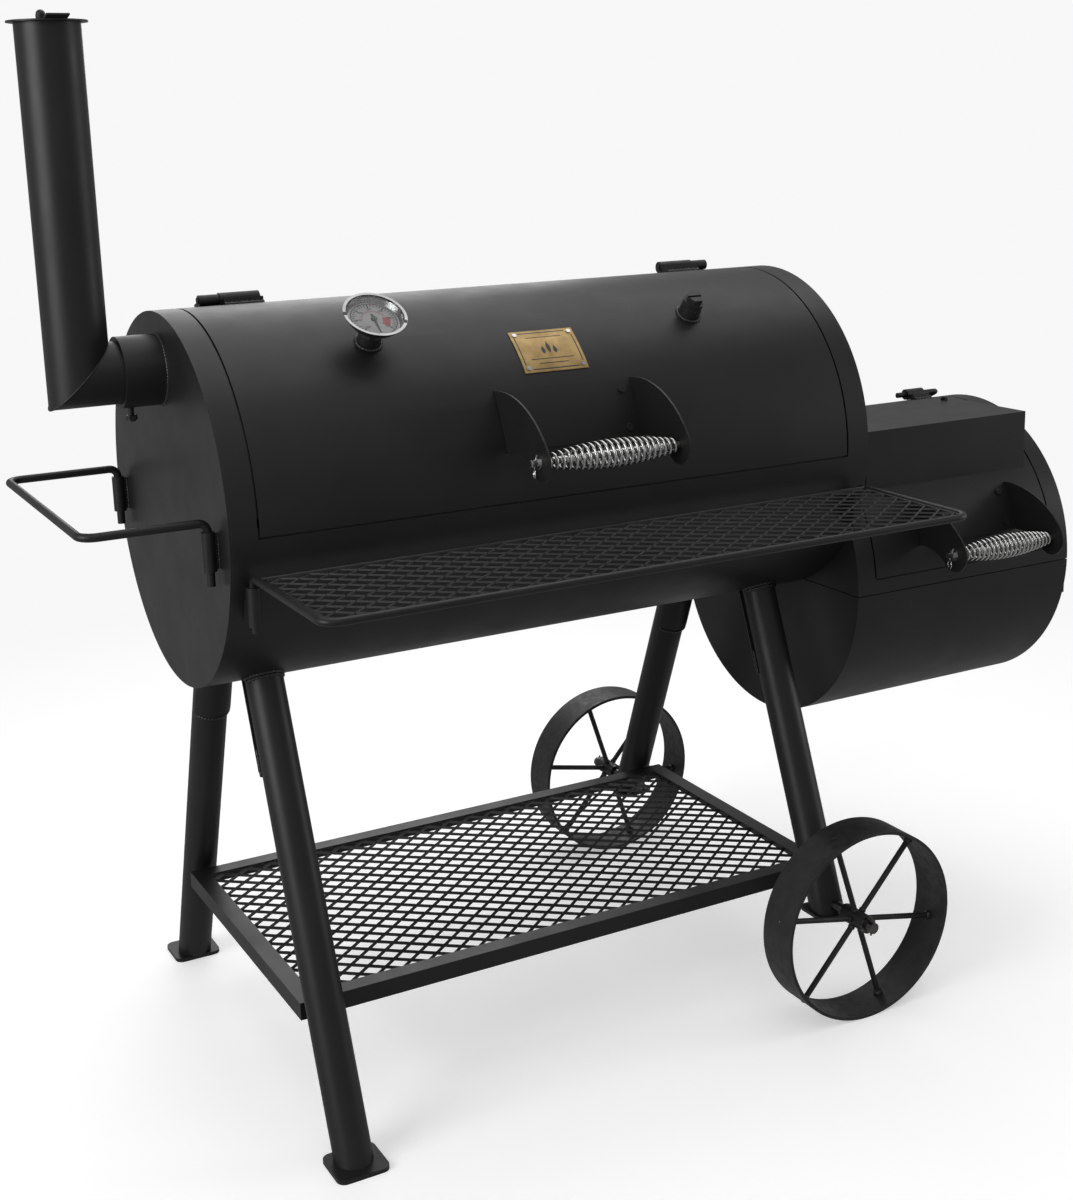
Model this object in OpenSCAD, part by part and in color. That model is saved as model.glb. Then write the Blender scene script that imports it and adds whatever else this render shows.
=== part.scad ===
// Offset smoker: a horizontal steel cooking chamber on two splayed pairs of legs,
// with a smaller firebox welded to its right end and a chimney on its left end.
// Millimetres, +Z up, +X from the chimney towards the firebox, -Y is the front.
// The origin lies on the ground, under the middle of the whole object's box.

/* [Cooking chamber] */
// Outside diameter of the cooking chamber
chamber_d = 508; // [440:1:580]
// Length of the cooking chamber over its end plates
chamber_len = 983; // [820:1:1180]
// Height of the cooking chamber's axis above the ground
axis_height = 834; // [780:1:900]
// Thickness of the rolled shells and end plates
steel = 3; // [2:0.5:4]
// Depth of the cooking grates' underside below the chamber axis
grate_drop = 41; // [25:1:70]

/* [Lids] */
// Strip of fixed shell beside the main lid at each end
lid_margin = 38; // [30:1:60]
// Strip of fixed shell beside the firebox lid at each end
firebox_lid_margin = 34; // [28:1:50]
// Width of the gap around both lids
lid_gap = 3; // [2:0.5:5]
// Angle of the main lid's front edge above the chamber axis
lid_front_angle = -1; // [-4:0.5:6]
// Angle of the firebox lid's front edge above the firebox axis
firebox_lid_front_angle = 6; // [4:0.5:10]
// Angle of the hinge lines behind the top of each drum
hinge_back = 13; // [9:0.5:20]

/* [Firebox] */
// Outside diameter of the firebox
firebox_d = 478; // [420:1:500]
// Length of the firebox over its end plates
firebox_len = 430; // [380:1:520]
// Height of the firebox axis above the underside of the chamber
firebox_rise = 22; // [5:1:45]
// Distance of the flat-topped box's front behind the firebox's foremost line
box_setback = 53; // [40:1:70]
// Distance from the lid's ends to the flat-topped box
box_inset = 18; // [10:1:60]

/* [Chimney] */
// Outside diameter of the chimney pipe
pipe_d = 81.6; // [70:0.2:100]
// Wall thickness of the chimney pipe
pipe_wall = 2.5; // [1.5:0.5:4]
// Distance of the upright pipe from the end plate
pipe_out = 104; // [90:1:140]
// Distance of the chimney's inlet below the top of the chamber
pipe_drop = 76; // [65:1:95]
// Height of the chimney's mouth above the ground
pipe_top = 1449; // [1300:1:1650]
// Length of the collar that holds the chimney
collar_len = 54; // [40:1:62]

/* [Handles] */
// Length between the main lid handle's two wings
handle_len = 207; // [170:1:260]
// Length between the firebox handle's two wings
firebox_handle_len = 193; // [160:1:230]
// Reach of the main lid's grip from the lid
handle_reach = 90; // [75:1:100]
// Reach of the firebox lid's grip from the lid
firebox_handle_reach = 76; // [70:1:95]
// Diameter of the rod inside each spring grip
grip_rod_d = 10; // [8:0.5:12]
// Diameter of the spring grips at their middle
grip_d = 39; // [30:1:44]
// Diameter of the spring wire
grip_wire = 4.5; // [3:0.5:5]
// Diameter of the side handle's bar
side_bar_d = 11; // [9:0.5:14]
// Reach of the side handle from the end plate
side_reach = 167; // [130:1:220]
// Distance between the side handle's two sockets
side_span = 416; // [340:1:440]

/* [Front shelf] */
// Diameter of the front shelf's bar
shelf_bar_d = 10; // [8:0.5:12]
// Depth of the front shelf from the chamber's axis
shelf_out = 499; // [420:1:560]
// Depth of the front shelf's bar below the chamber axis
shelf_drop = 52; // [45:1:80]
// Distance of the shelf's end bars from the chamber's ends
shelf_inset = 24; // [16:1:60]

/* [Legs and wheels] */
// Outside diameter of the leg tubes
leg_d = 52; // [42:1:60]
// Wall thickness of the leg tubes
leg_wall = 2.5; // [1.5:0.5:4]
// Distance of each leg from the middle plane at the chamber
leg_top_y = 105; // [90:1:125]
// Distance of each leg from the middle plane at the ground
leg_foot_y = 343; // [300:1:380]
// Distance of the foot legs from the chimney end
leg_inset = 82; // [60:1:140]
// Distance of the wheel legs from the firebox end of the chamber
wheel_inset = 91; // [60:1:140]
// Outside diameter of the wheels
wheel_d = 295; // [250:1:330]
// Width of the wheel rims
rim_w = 65; // [40:1:80]
// Distance of the wheels' middle planes from the object's middle plane
wheel_y = 362; // [358:1:400]
// Diameter of the stub axles
axle_d = 17; // [12:0.5:20]

/* [Bottom shelf] */
// Height of the bottom shelf above the ground
low_shelf_z = 188; // [180:1:260]
// Width of the bottom shelf's angle bars
angle_w = 25; // [20:1:35]

/* [Expanded metal] */
// Length of one diamond opening, along X
diamond_l = 38; // [30:1:60]
// Width of one diamond opening, along Y
diamond_w = 29; // [20:1:40]
// Width of the strands between the openings
strand = 4; // [3:0.5:6]

/* [Hidden] */

// Radial clearance between a pin, rod or shaft and the hole it turns in
pin_fit = 0.08;
// Clearance between separate pieces that lie against each other
seat_gap = 0.3;
// Clearance between a welded piece and the curved surface it is welded to
weld_gap = 0.2;
// Step between the ends of two pieces that are welded into one
weld_step = 0.7;
// A length that reaches right through whatever it cuts
through = 2000;

chamber_r = chamber_d / 2;
firebox_r = firebox_d / 2;
firebox_z = axis_height - chamber_r + firebox_rise;
firebox_x = chamber_len;
firebox_end = firebox_x + firebox_len;
pipe_z = axis_height + chamber_r - pipe_drop;
wheel_x = chamber_len - wheel_inset;
wheel_r = wheel_d / 2;

// Hinges
pin_d = 9;
barrel_d = 18;
small_barrel_d = 15;
hinge_lift = 10;
barrel_len = 57;
small_barrel_len = 28;
barrel_play = 0.5;
hinge_offset = 40;
lug_angle = 5;

// Handles
sheet = 2.5;
handle_low_angle = 14;
handle_high_angle = 33;
rod_angle = 10.5;
firebox_handle_shift = 9;
firebox_handle_turn = 1.3;
wing_tip_r = 27;
wing_back_r = 150;
wing_hollow_r = 70;
rod_overhang = 14;
screw_d = 5;
screw_head_d = 10;
screw_inset = 19;
clip_d = 2.5;
washer_d = 20;

// Front shelf and side handle
bar_bend = 20;
down_bend = 12;
socket_wall = 3;
socket_len = 50;
side_bar_z = axis_height + 12;
side_socket_x = -12;
side_tail = 81;
shelf_tail = 70;
shelf_z = axis_height - shelf_drop;
shelf_socket_y = sqrt(pow(chamber_r, 2) - pow(shelf_drop + socket_len / 2, 2)) + 20;

// Chimney
collar_wall = 5.5;
collar_play = 0.6;
stub_in = 10;
cap_d = 99;
cap_t = 2;
cap_pivot_y = 30;
cap_bolt_d = 6;
cap_nut_d = 13;

// Legs
leg_top_z = axis_height - sqrt(pow(chamber_r, 2) - pow(leg_top_y, 2));
leg_lean = atan((leg_foot_y - leg_top_y) / leg_top_z);
leg_len = sqrt(pow(leg_foot_y - leg_top_y, 2) + pow(leg_top_z, 2));
foot_t = 6;
foot_l = 73;
foot_w = 69;
foot_corner = 12;
foot_shift = 6;
leg_end_z = wheel_r - axle_d / 2 - 4;
leg_xs = [leg_inset, wheel_x];
sleeve_wall = 4;
sleeve_len = 126;
sleeve_half_angle = 62;
bolt_d = 8;
bolt_head_d = 14;
bolt_head_h = 6;
leg_plate_t = 5;
leg_plate_w = 62;

// Wheels
rim_t = 5;
hub_d = 26;
hub_len = 50;
spoke_d = 8.5;
spoke_count = 6;
spoke_phase = 12;
axle_tail = 15;
keeper_t = 2;
keeper_d = 26;
cotter_d = 3;
cotter_out = 6;

// Bottom shelf
angle_t = 3;
low_shelf_x0 = leg_inset - 25;
low_shelf_x1 = wheel_x + 33;

// Grates
rail_t = 3;
rail_w = 26;
bar_w = 4;
bar_h = 6;
bar_pitch = 18;
grate_gap = 6;
grate_end_gap = 12;
coal_drop = 110;
coal_bar_w = 8;
coal_pitch = 24;

// Thermometer, port and plate
port_angle = 55;
thermometer_x = 240;
port_x = chamber_len - 245;
bung_d = 31;
bung_h = 16;
port_hole_d = 12;
plug_d = 30;
plug_h = 9;
plug_head_d = 25;
plug_head_h = 8;
plug_slot_w = 4;
plug_slot_h = 3;
dial_d = 85;
dial_height = 48;
case_depth = 16;
dial_t = 1;
glass_t = 2;
stem_d = 6;
stem_in = 70;
plate_angle = 45.5;
plate_w = 98;
plate_span = 16;
plate_t = 1;
plate_x = 490;

// Air intake
damper_drop = 125;
damper_d = 150;
damper_t = 3;
vent_d = 34;
vent_pcd = 84;
vent_count = 3;
damper_bolt_d = 10;
damper_tab = 13;

// The whole object's box sets the origin
far_left = -side_reach - side_bar_d / 2;
far_right = firebox_end + damper_t + damper_tab;
far_front = -shelf_out - shelf_bar_d / 2;
far_back = wheel_y + hub_len / 2 + axle_tail;
origin = [(far_left + far_right) / 2, (far_front + far_back) / 2, 0];

round_fn = 96;
small_fn = 40;
black = "#2b2b2c";
dark = "#1f1f20";
zinc = "#c9c9c6";
brass = "#c8a04f";

function unit(v) = v / norm(v);
// Angle at the drum's axis that spans a length on its surface
function arc_angle(length, r) = length / r * 180 / PI;
// Half chord of a circle at a height from its centre
function half_chord(r, h) = sqrt(pow(r, 2) - pow(h, 2));
// Points of an arc in a plane
function arc(c, r, a0, a1, n) = [for (i = [0:n]) c + r * [cos(a0 + (a1 - a0) * i / n), sin(a0 + (a1 - a0) * i / n)]];
// One of the two points at given distances from two centres
function meet(p, rp, q, rq, side) =
    let (d = norm(q - p), u = (q - p) / d, a = (rp * rp - rq * rq + d * d) / (2 * d), h = sqrt(rp * rp - a * a))
    p + a * u + side * h * [-u[1], u[0]];
// Direction of a vector, from 0 to 360 degrees
function heading(v) = let (a = atan2(v[1], v[0])) a < 0 ? a + 360 : a;

// Places a piece drawn from the chimney-end plate into the object's own frame
module placed() translate(-origin) children();

// Draws a piece on the chamber's axis
module on_chamber() translate([0, 0, axis_height]) children();

// Draws a piece on the firebox's axis
module on_firebox() translate([firebox_x, 0, firebox_z]) children();

// Turns the firebox's handle up its drum from the angles that both handles share
module turn_firebox_handle() rotate([-firebox_handle_turn, 0, 0]) children();

// Draws a piece twice, at the front and mirrored to the back
module front_and_back() for (s = [0, 1]) mirror([0, s, 0]) children();

// A round bar along X
module bar_x(d, x0, x1, fn = round_fn) translate([x0, 0, 0]) rotate([0, 90, 0]) cylinder(d = d, h = x1 - x0, $fn = fn);

// A round bar along Y
module bar_y(d, y0, y1, fn = round_fn) translate([0, y1, 0]) rotate([90, 0, 0]) cylinder(d = d, h = y1 - y0, $fn = fn);

// A sheet bent about the X axis, between two angles above the front horizontal
module bent_sheet(r_out, t, a0, a1, x0, x1)
    translate([x0, 0, 0]) rotate([90, 0, 90]) rotate([0, 0, 180 - a1])
        rotate_extrude(angle = a1 - a0, $fn = 180) translate([r_out - t, 0]) square([t, x1 - x0]);

// A flat profile given in Y and Z, drawn out along X
module profile_x(x0, x1) translate([x0, 0, 0]) rotate([90, 0, 90]) linear_extrude(x1 - x0) children();

// Stands a piece on a drum's surface, with its own Z axis pointing outwards
module radial(x, a, r) translate([x, 0, 0]) rotate([90 - a, 0, 0]) translate([0, 0, r]) children();

// A round bar between two points
module bar_between(a, b, d) {
    v = b - a;
    translate(a) rotate([0, acos(v[2] / norm(v)), atan2(v[1], v[0])]) cylinder(d = d, h = norm(v), $fn = small_fn);
}

// The rounded corner of a bent bar at point b, coming from a and going to c
module bar_corner(a, b, c, d, bend) {
    u = unit(b - a);
    v = unit(c - b);
    turn = acos(u * v);
    centre = b + unit(v - u) * bend / cos(turn / 2);
    x = unit(b - u * bend * tan(turn / 2) - centre);
    z = cross(x, u);
    multmatrix([[x[0], u[0], z[0], centre[0]], [x[1], u[1], z[1], centre[1]], [x[2], u[2], z[2], centre[2]], [0, 0, 0, 1]])
        rotate_extrude(angle = turn, $fn = round_fn) translate([bend, 0]) circle(d = d, $fn = small_fn);
}

// Distance from a corner to where its bend begins
function setback(a, b, c, bend) = bend * tan(acos(unit(b - a) * unit(c - b)) / 2);

// A bent bar through a list of corners, with a bend radius for each inner corner
module bent_bar(points, d, bends) {
    last = len(points) - 1;
    for (i = [0:last - 1]) {
        a = points[i];
        b = points[i + 1];
        u = unit(b - a);
        start = i == 0 ? 0 : setback(points[i - 1], a, b, bends[i - 1]);
        stop = i == last - 1 ? 0 : setback(a, b, points[i + 2], bends[i]);
        bar_between(a + u * start, b - u * stop, d);
    }
    for (i = [1:last - 1]) bar_corner(points[i - 1], points[i], points[i + 1], d, bends[i - 1]);
}

// A hexagonal screw head or nut with a small dome
module hex_head(d, h) {
    cylinder(d = d / cos(30), h = h * 0.8, $fn = 6);
    translate([0, 0, h * 0.8]) cylinder(d = d * 0.8, h = h * 0.2, $fn = small_fn);
}

// ---- Cooking chamber ----

module lid_cut(r, a0, a1, x0, x1) bent_sheet(r + 5, 15, a0, a1, x0, x1);

lid_x0 = lid_margin + lid_gap / 2;
lid_x1 = chamber_len - lid_margin - lid_gap / 2;
lid_rear_angle = 90 + hinge_back - arc_angle(lid_gap / 2, chamber_r);
lid_gap_angle = arc_angle(lid_gap, chamber_r);

module chamber_shell() color(black) placed() difference() {
    on_chamber() difference() {
        bar_x(chamber_d, steel, chamber_len - steel, 180);
        bar_x(chamber_d - 2 * steel, 0, chamber_len, 180);
        lid_cut(chamber_r, lid_front_angle - lid_gap_angle, lid_rear_angle + lid_gap_angle,
            lid_x0 - lid_gap, lid_x1 + lid_gap);
    }
}

throat_w = 240;
throat_h = 125;
throat_low = firebox_z + 48;

// The opening from the firebox to the cooking chamber
module throat_cut() translate([chamber_len - 10, -throat_w / 2, throat_low]) cube([20, throat_w, throat_h]);

module chamber_end_left() color(black) placed() difference() {
    on_chamber() bar_x(chamber_d, 0, steel, 180);
    translate([0, 0, pipe_z]) bar_x(pipe_d + 2 * collar_play, -1, steel + 1);
}

module chamber_end_right() color(black) placed() difference() {
    on_chamber() bar_x(chamber_d, chamber_len - steel, chamber_len, 180);
    throat_cut();
}

rest_w = 16;

// The frame of strips under one lid opening
module lid_rest(r, a0, a1, x0, x1) {
    out = r - steel - seat_gap;
    for (x = [x0 - rest_w / 2, x1 - rest_w / 2]) bent_sheet(out, steel, a0 + 5, a1, x, x + rest_w);
    bent_sheet(out, steel, a0 - 2.5, a0 + 2.5, x0 - rest_w / 2, x1 + rest_w / 2);
}

module lid_rests() color(dark) placed() {
    on_chamber() lid_rest(chamber_r, lid_front_angle, lid_rear_angle, lid_x0, lid_x1);
    on_firebox() lid_rest(firebox_r, firebox_lid_front_angle, firebox_rear_angle, firebox_lid_x0, firebox_lid_x1);
}

// One angle rail along the inside of a drum, under a grate
module grate_rail(r, drop, x0, x1) {
    y_out = half_chord(r - steel, drop + rail_t) - seat_gap;
    profile_x(x0, x1) polygon([
        [-y_out, -drop - rail_t], [-y_out, -drop], [-y_out + rail_w, -drop],
        [-y_out + rail_w, -drop - 6 * rail_t], [-y_out + rail_w - rail_t, -drop - 6 * rail_t],
        [-y_out + rail_w - rail_t, -drop - rail_t]
    ]);
}

module grate_rails() color(dark) placed() front_and_back() {
    on_chamber() grate_rail(chamber_r, grate_drop, steel, chamber_len - steel);
    on_firebox() grate_rail(firebox_r, coal_drop, steel, firebox_len - steel);
}

// A grate of flat bars that lie across two long bars
module grate(x0, x1, y_half, w, h, pitch) {
    span = x1 - x0;
    count = floor((span - w) / pitch);
    step = (span - w) / count;
    for (i = [0:count]) translate([x0 + i * step, -y_half, 0]) cube([w, 2 * y_half, h]);
    for (y = [-y_half, -w / 2, y_half - w]) translate([x0, y, 0]) cube([span, w, h]);
}

grate_mid = chamber_len / 2;
grate_half = half_chord(chamber_r - steel, grate_drop) - 4;

module cooking_grate_left() color(dark) placed() translate([0, 0, axis_height - grate_drop + seat_gap])
    grate(steel + grate_end_gap, grate_mid - grate_gap / 2, grate_half, bar_w, bar_h, bar_pitch);

module cooking_grate_right() color(dark) placed() translate([0, 0, axis_height - grate_drop + seat_gap])
    grate(grate_mid + grate_gap / 2, chamber_len - steel - grate_end_gap, grate_half, bar_w, bar_h, bar_pitch);

module charcoal_grate() color(dark) placed() translate([firebox_x, 0, firebox_z - coal_drop + seat_gap])
    grate(steel + grate_end_gap, firebox_len - steel - grate_end_gap,
        half_chord(firebox_r - steel, coal_drop) - 4, coal_bar_w, bar_h, coal_pitch);

// ---- Chimney ----

collar_bore = pipe_d + 2 * collar_play;
screw_x = -collar_len * 0.74;

module chimney_collar() color(black) placed() translate([0, 0, pipe_z]) difference() {
    bar_x(collar_bore + 2 * collar_wall, -collar_len, 0);
    bar_x(collar_bore, -collar_len - 1, 1);
    translate([screw_x, 0, -collar_bore]) cylinder(d = bolt_d + 2 * pin_fit, h = collar_bore, $fn = small_fn);
}

module chimney_screw() color(dark) placed()
    translate([screw_x, 0, pipe_z - pipe_d / 2 - seat_gap]) mirror([0, 0, 1]) {
        cylinder(d = bolt_d, h = 16, $fn = small_fn);
        translate([0, 0, 16]) hex_head(bolt_head_d, 8);
    }

// Keeps what lies on the stub's side of the mitre, or on the upright's side
module mitre_side(upright) translate([-pipe_out, through / 2, pipe_z]) rotate([90, 0, 0])
    linear_extrude(through) polygon(upright
        ? [[-through, -through], [through, through], [-through, through]]
        : [[-through, -through], [through, -through], [through, through]]);

module chimney_elbow() color(black) placed() intersection() {
    translate([0, 0, pipe_z]) difference() {
        bar_x(pipe_d, -pipe_out - pipe_d, stub_in);
        bar_x(pipe_d - 2 * pipe_wall, -pipe_out - pipe_d - 1, stub_in + 1);
    }
    mitre_side(false);
}

module chimney_pipe() color(black) placed() intersection() {
    translate([-pipe_out, 0, pipe_z - pipe_d]) difference() {
        cylinder(d = pipe_d, h = pipe_top - pipe_z + pipe_d, $fn = round_fn);
        translate([0, 0, -1]) cylinder(d = pipe_d - 2 * pipe_wall, h = through, $fn = round_fn);
    }
    mitre_side(true);
}

cap_z = pipe_top + seat_gap;
lug_z = pipe_top - 14;

module cap_pivot() color(dark) placed() translate([-pipe_out, 0, 0]) {
    difference() {
        intersection() {
            translate([0, 0, lug_z]) cylinder(d = pipe_d - 2 * pipe_wall - 2 * weld_gap, h = steel, $fn = round_fn);
            translate([-9, cap_pivot_y - 12, lug_z - 1]) cube([18, pipe_d, steel + 2]);
        }
        translate([0, cap_pivot_y, lug_z - 1]) cylinder(d = cap_bolt_d + 2 * pin_fit, h = steel + 2, $fn = small_fn);
    }
    translate([0, cap_pivot_y, lug_z - 5]) {
        cylinder(d = cap_nut_d, h = 5 - seat_gap, $fn = 6);
        cylinder(d = cap_bolt_d, h = cap_z + cap_t - lug_z + 6, $fn = small_fn);
        translate([0, 0, cap_z + cap_t - lug_z + 5 + seat_gap]) {
            cylinder(d = cap_nut_d, h = 9, $fn = 6);
            translate([0, 0, 9]) intersection() {
                sphere(d = cap_nut_d - 1, $fn = small_fn);
                cylinder(d = cap_nut_d, h = cap_nut_d, $fn = small_fn);
            }
        }
    }
}

module chimney_cap() color(dark) placed() translate([-pipe_out, 0, cap_z]) {
    difference() {
        cylinder(d = cap_d, h = cap_t, $fn = round_fn);
        translate([0, cap_pivot_y, -1]) cylinder(d = cap_bolt_d + 2 * pin_fit, h = cap_t + 2, $fn = small_fn);
    }
    translate([-14, -cap_d / 2 + 4, cap_t - 0.5]) rotate([-14, 0, 0]) translate([0, -16, 0]) cube([28, 16, cap_t]);
}

// ---- Hinges ----

// The hinge line above a drum of radius r
module hinge_line(r) rotate([90 - (90 + hinge_back), 0, 0]) translate([0, 0, r + hinge_lift]) children();

// A hinge barrel on its weld lug, in front of or behind the hinge line of a drum of radius r
module barrel(r, d, behind, x0, x1) difference() {
    union() {
        hinge_line(r) bar_x(d, x0, x1, small_fn);
        bent_sheet(r + hinge_lift - 1, hinge_lift - 1 - weld_gap, 90 + hinge_back + (behind ? lid_clear : -lug_angle),
            90 + hinge_back + (behind ? lug_angle : -lid_clear), x0 + weld_step, x1 - weld_step);
    }
    hinge_line(r) bar_x(pin_d + 2 * pin_fit, x0 - 1, x1 + 1, small_fn);
}

lid_clear = 0.5;
left_hinge_x = lid_x0 + hinge_offset;
right_hinge_x = chamber_len - left_hinge_x;

// Draws a left-hand hinge piece, and its mirror image about the drum's middle
module both_ends(length) {
    children();
    translate([length, 0, 0]) mirror([1, 0, 0]) children();
}

module shell_hinge_barrels() color(dark) placed() on_chamber() both_ends(chamber_len)
    barrel(chamber_r, small_barrel_d, true, left_hinge_x, left_hinge_x + small_barrel_len);

module lid_hinge_barrels() color(dark) placed() on_chamber() both_ends(chamber_len) {
    x0 = left_hinge_x + small_barrel_len + barrel_play;
    barrel(chamber_r, barrel_d, false, x0, x0 + barrel_len);
}

firebox_barrel_x = firebox_lid_margin + 28;
firebox_barrel_len = 36;
firebox_pin_out = 36;
pin_end = 17;
pin_foot_angle = hinge_back + 9;

module hinge_pins() color(dark) placed() {
    on_chamber() both_ends(chamber_len) hinge_line(chamber_r)
        bar_x(pin_d, left_hinge_x - 2, left_hinge_x + small_barrel_len + barrel_play + barrel_len + 2, small_fn);
    on_firebox() both_ends(firebox_len) firebox_pin();
}

// The bent pin of a firebox hinge, from the barrel's inner end to its foot on the fixed strip
module firebox_pin() {
    line_r = firebox_r + hinge_lift;
    foot_r = firebox_r + pin_d / 2 + weld_gap;
    hinge_point = line_r * [sin(hinge_back), cos(hinge_back)];
    foot = foot_r * [sin(pin_foot_angle), cos(pin_foot_angle)];
    x_in = firebox_barrel_x + firebox_barrel_len + pin_end;
    x_out = firebox_barrel_x - firebox_pin_out;
    translate([0, hinge_point[0], hinge_point[1]])
        rotate([atan2(foot[1] - hinge_point[1], foot[0] - hinge_point[0]), 0, 0])
            bent_bar([[x_in, 0, 0], [x_out, 0, 0], [x_out, norm(foot - hinge_point), 0]], pin_d, [pin_d]);
}

module firebox_hinge_barrels() color(dark) placed() on_firebox() both_ends(firebox_len)
    barrel(firebox_r, barrel_d, false, firebox_barrel_x, firebox_barrel_x + firebox_barrel_len);

// ---- Lids ----

module main_lid() color(black) placed() on_chamber() difference() {
    bent_sheet(chamber_r, steel, lid_front_angle, lid_rear_angle, lid_x0, lid_x1);
    for (x = [thermometer_x, port_x]) radial(x, port_angle, chamber_r - 10) cylinder(d = port_hole_d, h = 20, $fn = small_fn);
    screw_holes(chamber_r, handle_len, chamber_len / 2);
}

firebox_rear_angle = 90 + hinge_back - arc_angle(lid_gap / 2, firebox_r);
firebox_lid_x0 = firebox_lid_margin + lid_gap / 2;
firebox_lid_x1 = firebox_len - firebox_lid_margin - lid_gap / 2;
firebox_handle_x = firebox_len / 2 + firebox_handle_shift;

module firebox_lid() color(black) placed() on_firebox() difference() {
    bent_sheet(firebox_r, steel, firebox_lid_front_angle, firebox_rear_angle, firebox_lid_x0, firebox_lid_x1);
    turn_firebox_handle() screw_holes(firebox_r, firebox_handle_len, firebox_handle_x);
}

box_x0 = firebox_lid_x0 + box_inset;
box_x1 = firebox_lid_x1 - box_inset;
box_front = firebox_r - box_setback;
box_top = firebox_r + sheet + seat_gap;
box_back = 5;
box_bolt_d = 6;

module warming_box() color(black) placed() on_firebox() difference() {
    translate([box_x0, -box_front, 0]) cube([box_x1 - box_x0, box_front + box_back, box_top]);
    translate([box_x0 + sheet, -box_front + sheet, -1]) cube([box_x1 - box_x0 - 2 * sheet, through, box_top - sheet + 1]);
    bar_x(2 * (firebox_r + weld_gap), 0, firebox_len, 180);
    box_bolt_place() cylinder(d = box_bolt_d + 2 * pin_fit, h = 3 * sheet, center = true, $fn = small_fn);
}

module box_bolt_place() translate([box_x1 - 26, -22, box_top]) children();

module box_bolt() color(dark) placed() on_firebox() box_bolt_place() {
    translate([0, 0, -sheet]) cylinder(d = box_bolt_d, h = sheet + 1, $fn = small_fn);
    translate([0, 0, seat_gap]) hex_head(11, 5);
}

// ---- Spring handles ----

// Outline of a handle's wing, in Y and Z from the drum's axis
function wing_outline(r, reach) =
    let (
        tip = (r + reach) * [-cos(rod_angle), sin(rod_angle)],
        top = r * [-cos(handle_high_angle), sin(handle_high_angle)],
        low = r * [-cos(handle_low_angle), sin(handle_low_angle)],
        back = meet(top, wing_back_r, tip, wing_back_r - wing_tip_r, 1),
        hollow = meet(low, wing_hollow_r, tip, wing_hollow_r + wing_tip_r, 1),
        a_top = heading(top - back), a_turn = heading(tip - back),
        a_tip = heading(hollow - tip), a_in = heading(tip - hollow), a_low = heading(low - hollow)
    )
    concat(
        arc(back, wing_back_r, a_top, a_turn, 10),
        arc(tip, wing_tip_r, a_turn, a_tip, 12),
        arc(hollow, wing_hollow_r, a_in, a_low, 8),
        [0.97 * low, 0.97 * top]
    );

// The bent sheet that carries a grip: a curved base and two wings
module handle_bracket(r, reach, length, mid) difference() {
    union() {
        bent_sheet(r + weld_gap + sheet, sheet, handle_low_angle, handle_high_angle,
            mid - length / 2 - sheet + weld_step, mid + length / 2 + sheet - weld_step);
        for (x = [mid - length / 2 - sheet, mid + length / 2]) profile_x(x, x + sheet) difference() {
            polygon(wing_outline(r, reach));
            circle(r = r + weld_gap + sheet / 2, $fn = 180);
        }
    }
    grip_axis(r, reach) bar_x(grip_rod_d + 2 * pin_fit, 0, through);
    screw_holes(r, length, mid);
}

module grip_axis(r, reach) translate([0, -(r + reach) * cos(rod_angle), (r + reach) * sin(rod_angle)]) children();

// Places a piece at each of a bracket's four screws
module at_screws(r, length, mid)
    for (x = [mid - length / 2 + screw_inset, mid + length / 2 - screw_inset], a = [handle_low_angle + 3, handle_high_angle - 4])
        radial(x, a, r) children();

module screw_holes(r, length, mid) at_screws(r, length, mid)
    translate([0, 0, -10]) cylinder(d = screw_d + 2 * pin_fit, h = 20, $fn = small_fn);

module handle_screw() {
    head_seat = weld_gap + sheet + seat_gap;
    translate([0, 0, -steel - 7]) cylinder(d = screw_d, h = head_seat + steel + 8, $fn = small_fn);
    translate([0, 0, head_seat]) difference() {
        cylinder(d = screw_head_d, h = 3, $fn = small_fn);
        translate([-screw_head_d, -0.6, 1.8]) cube([2 * screw_head_d, 1.2, 2]);
    }
    translate([0, 0, -steel - seat_gap - 5]) cylinder(d = 9, h = 4.5, $fn = 6);
}

// A grip's rod with the washer and the ring clip at each end
module grip_rod(r, reach, length, mid) grip_axis(r, reach) {
    half = length / 2 + sheet;
    bar_x(grip_rod_d, mid - half - rod_overhang, mid + half + rod_overhang, small_fn);
    for (s = [-1, 1]) translate([mid + s * (half + seat_gap + 1), 0, 0]) {
        difference() {
            bar_x(washer_d, -1, 1, small_fn);
            bar_x(grip_rod_d - 1, -2, 2, small_fn);
        }
        translate([s * 5, 0, 0]) rotate([20, 0, 0]) translate([0, 0, -9]) cylinder(d = clip_d, h = 21, $fn = 16);
    }
}

// The barrel outline that the coiled grip fills
module grip_barrel(r, reach, length, mid) grip_axis(r, reach) {
    half = length / 2 - 3;
    r_end = grip_rod_d / 2 + pin_fit;
    bulge = grip_d / 2 - grip_wire - r_end;
    steps = 16;
    inner = [for (i = [0:steps]) let (t = i / steps) [r_end + bulge * sin(180 * t), -half + 2 * half * t]];
    translate([mid, 0, 0]) rotate([0, 90, 0]) rotate_extrude($fn = round_fn)
        polygon(concat(inner, [for (i = [steps:-1:0]) inner[i] + [grip_wire, 0]]));
}

module lid_handle() color(black) placed() on_chamber() handle_bracket(chamber_r, handle_reach, handle_len, chamber_len / 2);
module lid_handle_rod() color(zinc) placed() on_chamber() grip_rod(chamber_r, handle_reach, handle_len, chamber_len / 2);
module lid_handle_screws() color(dark) placed() on_chamber() at_screws(chamber_r, handle_len, chamber_len / 2) handle_screw();
module lid_grip() color(zinc) placed() on_chamber() grip_barrel(chamber_r, handle_reach, handle_len, chamber_len / 2);

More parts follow.
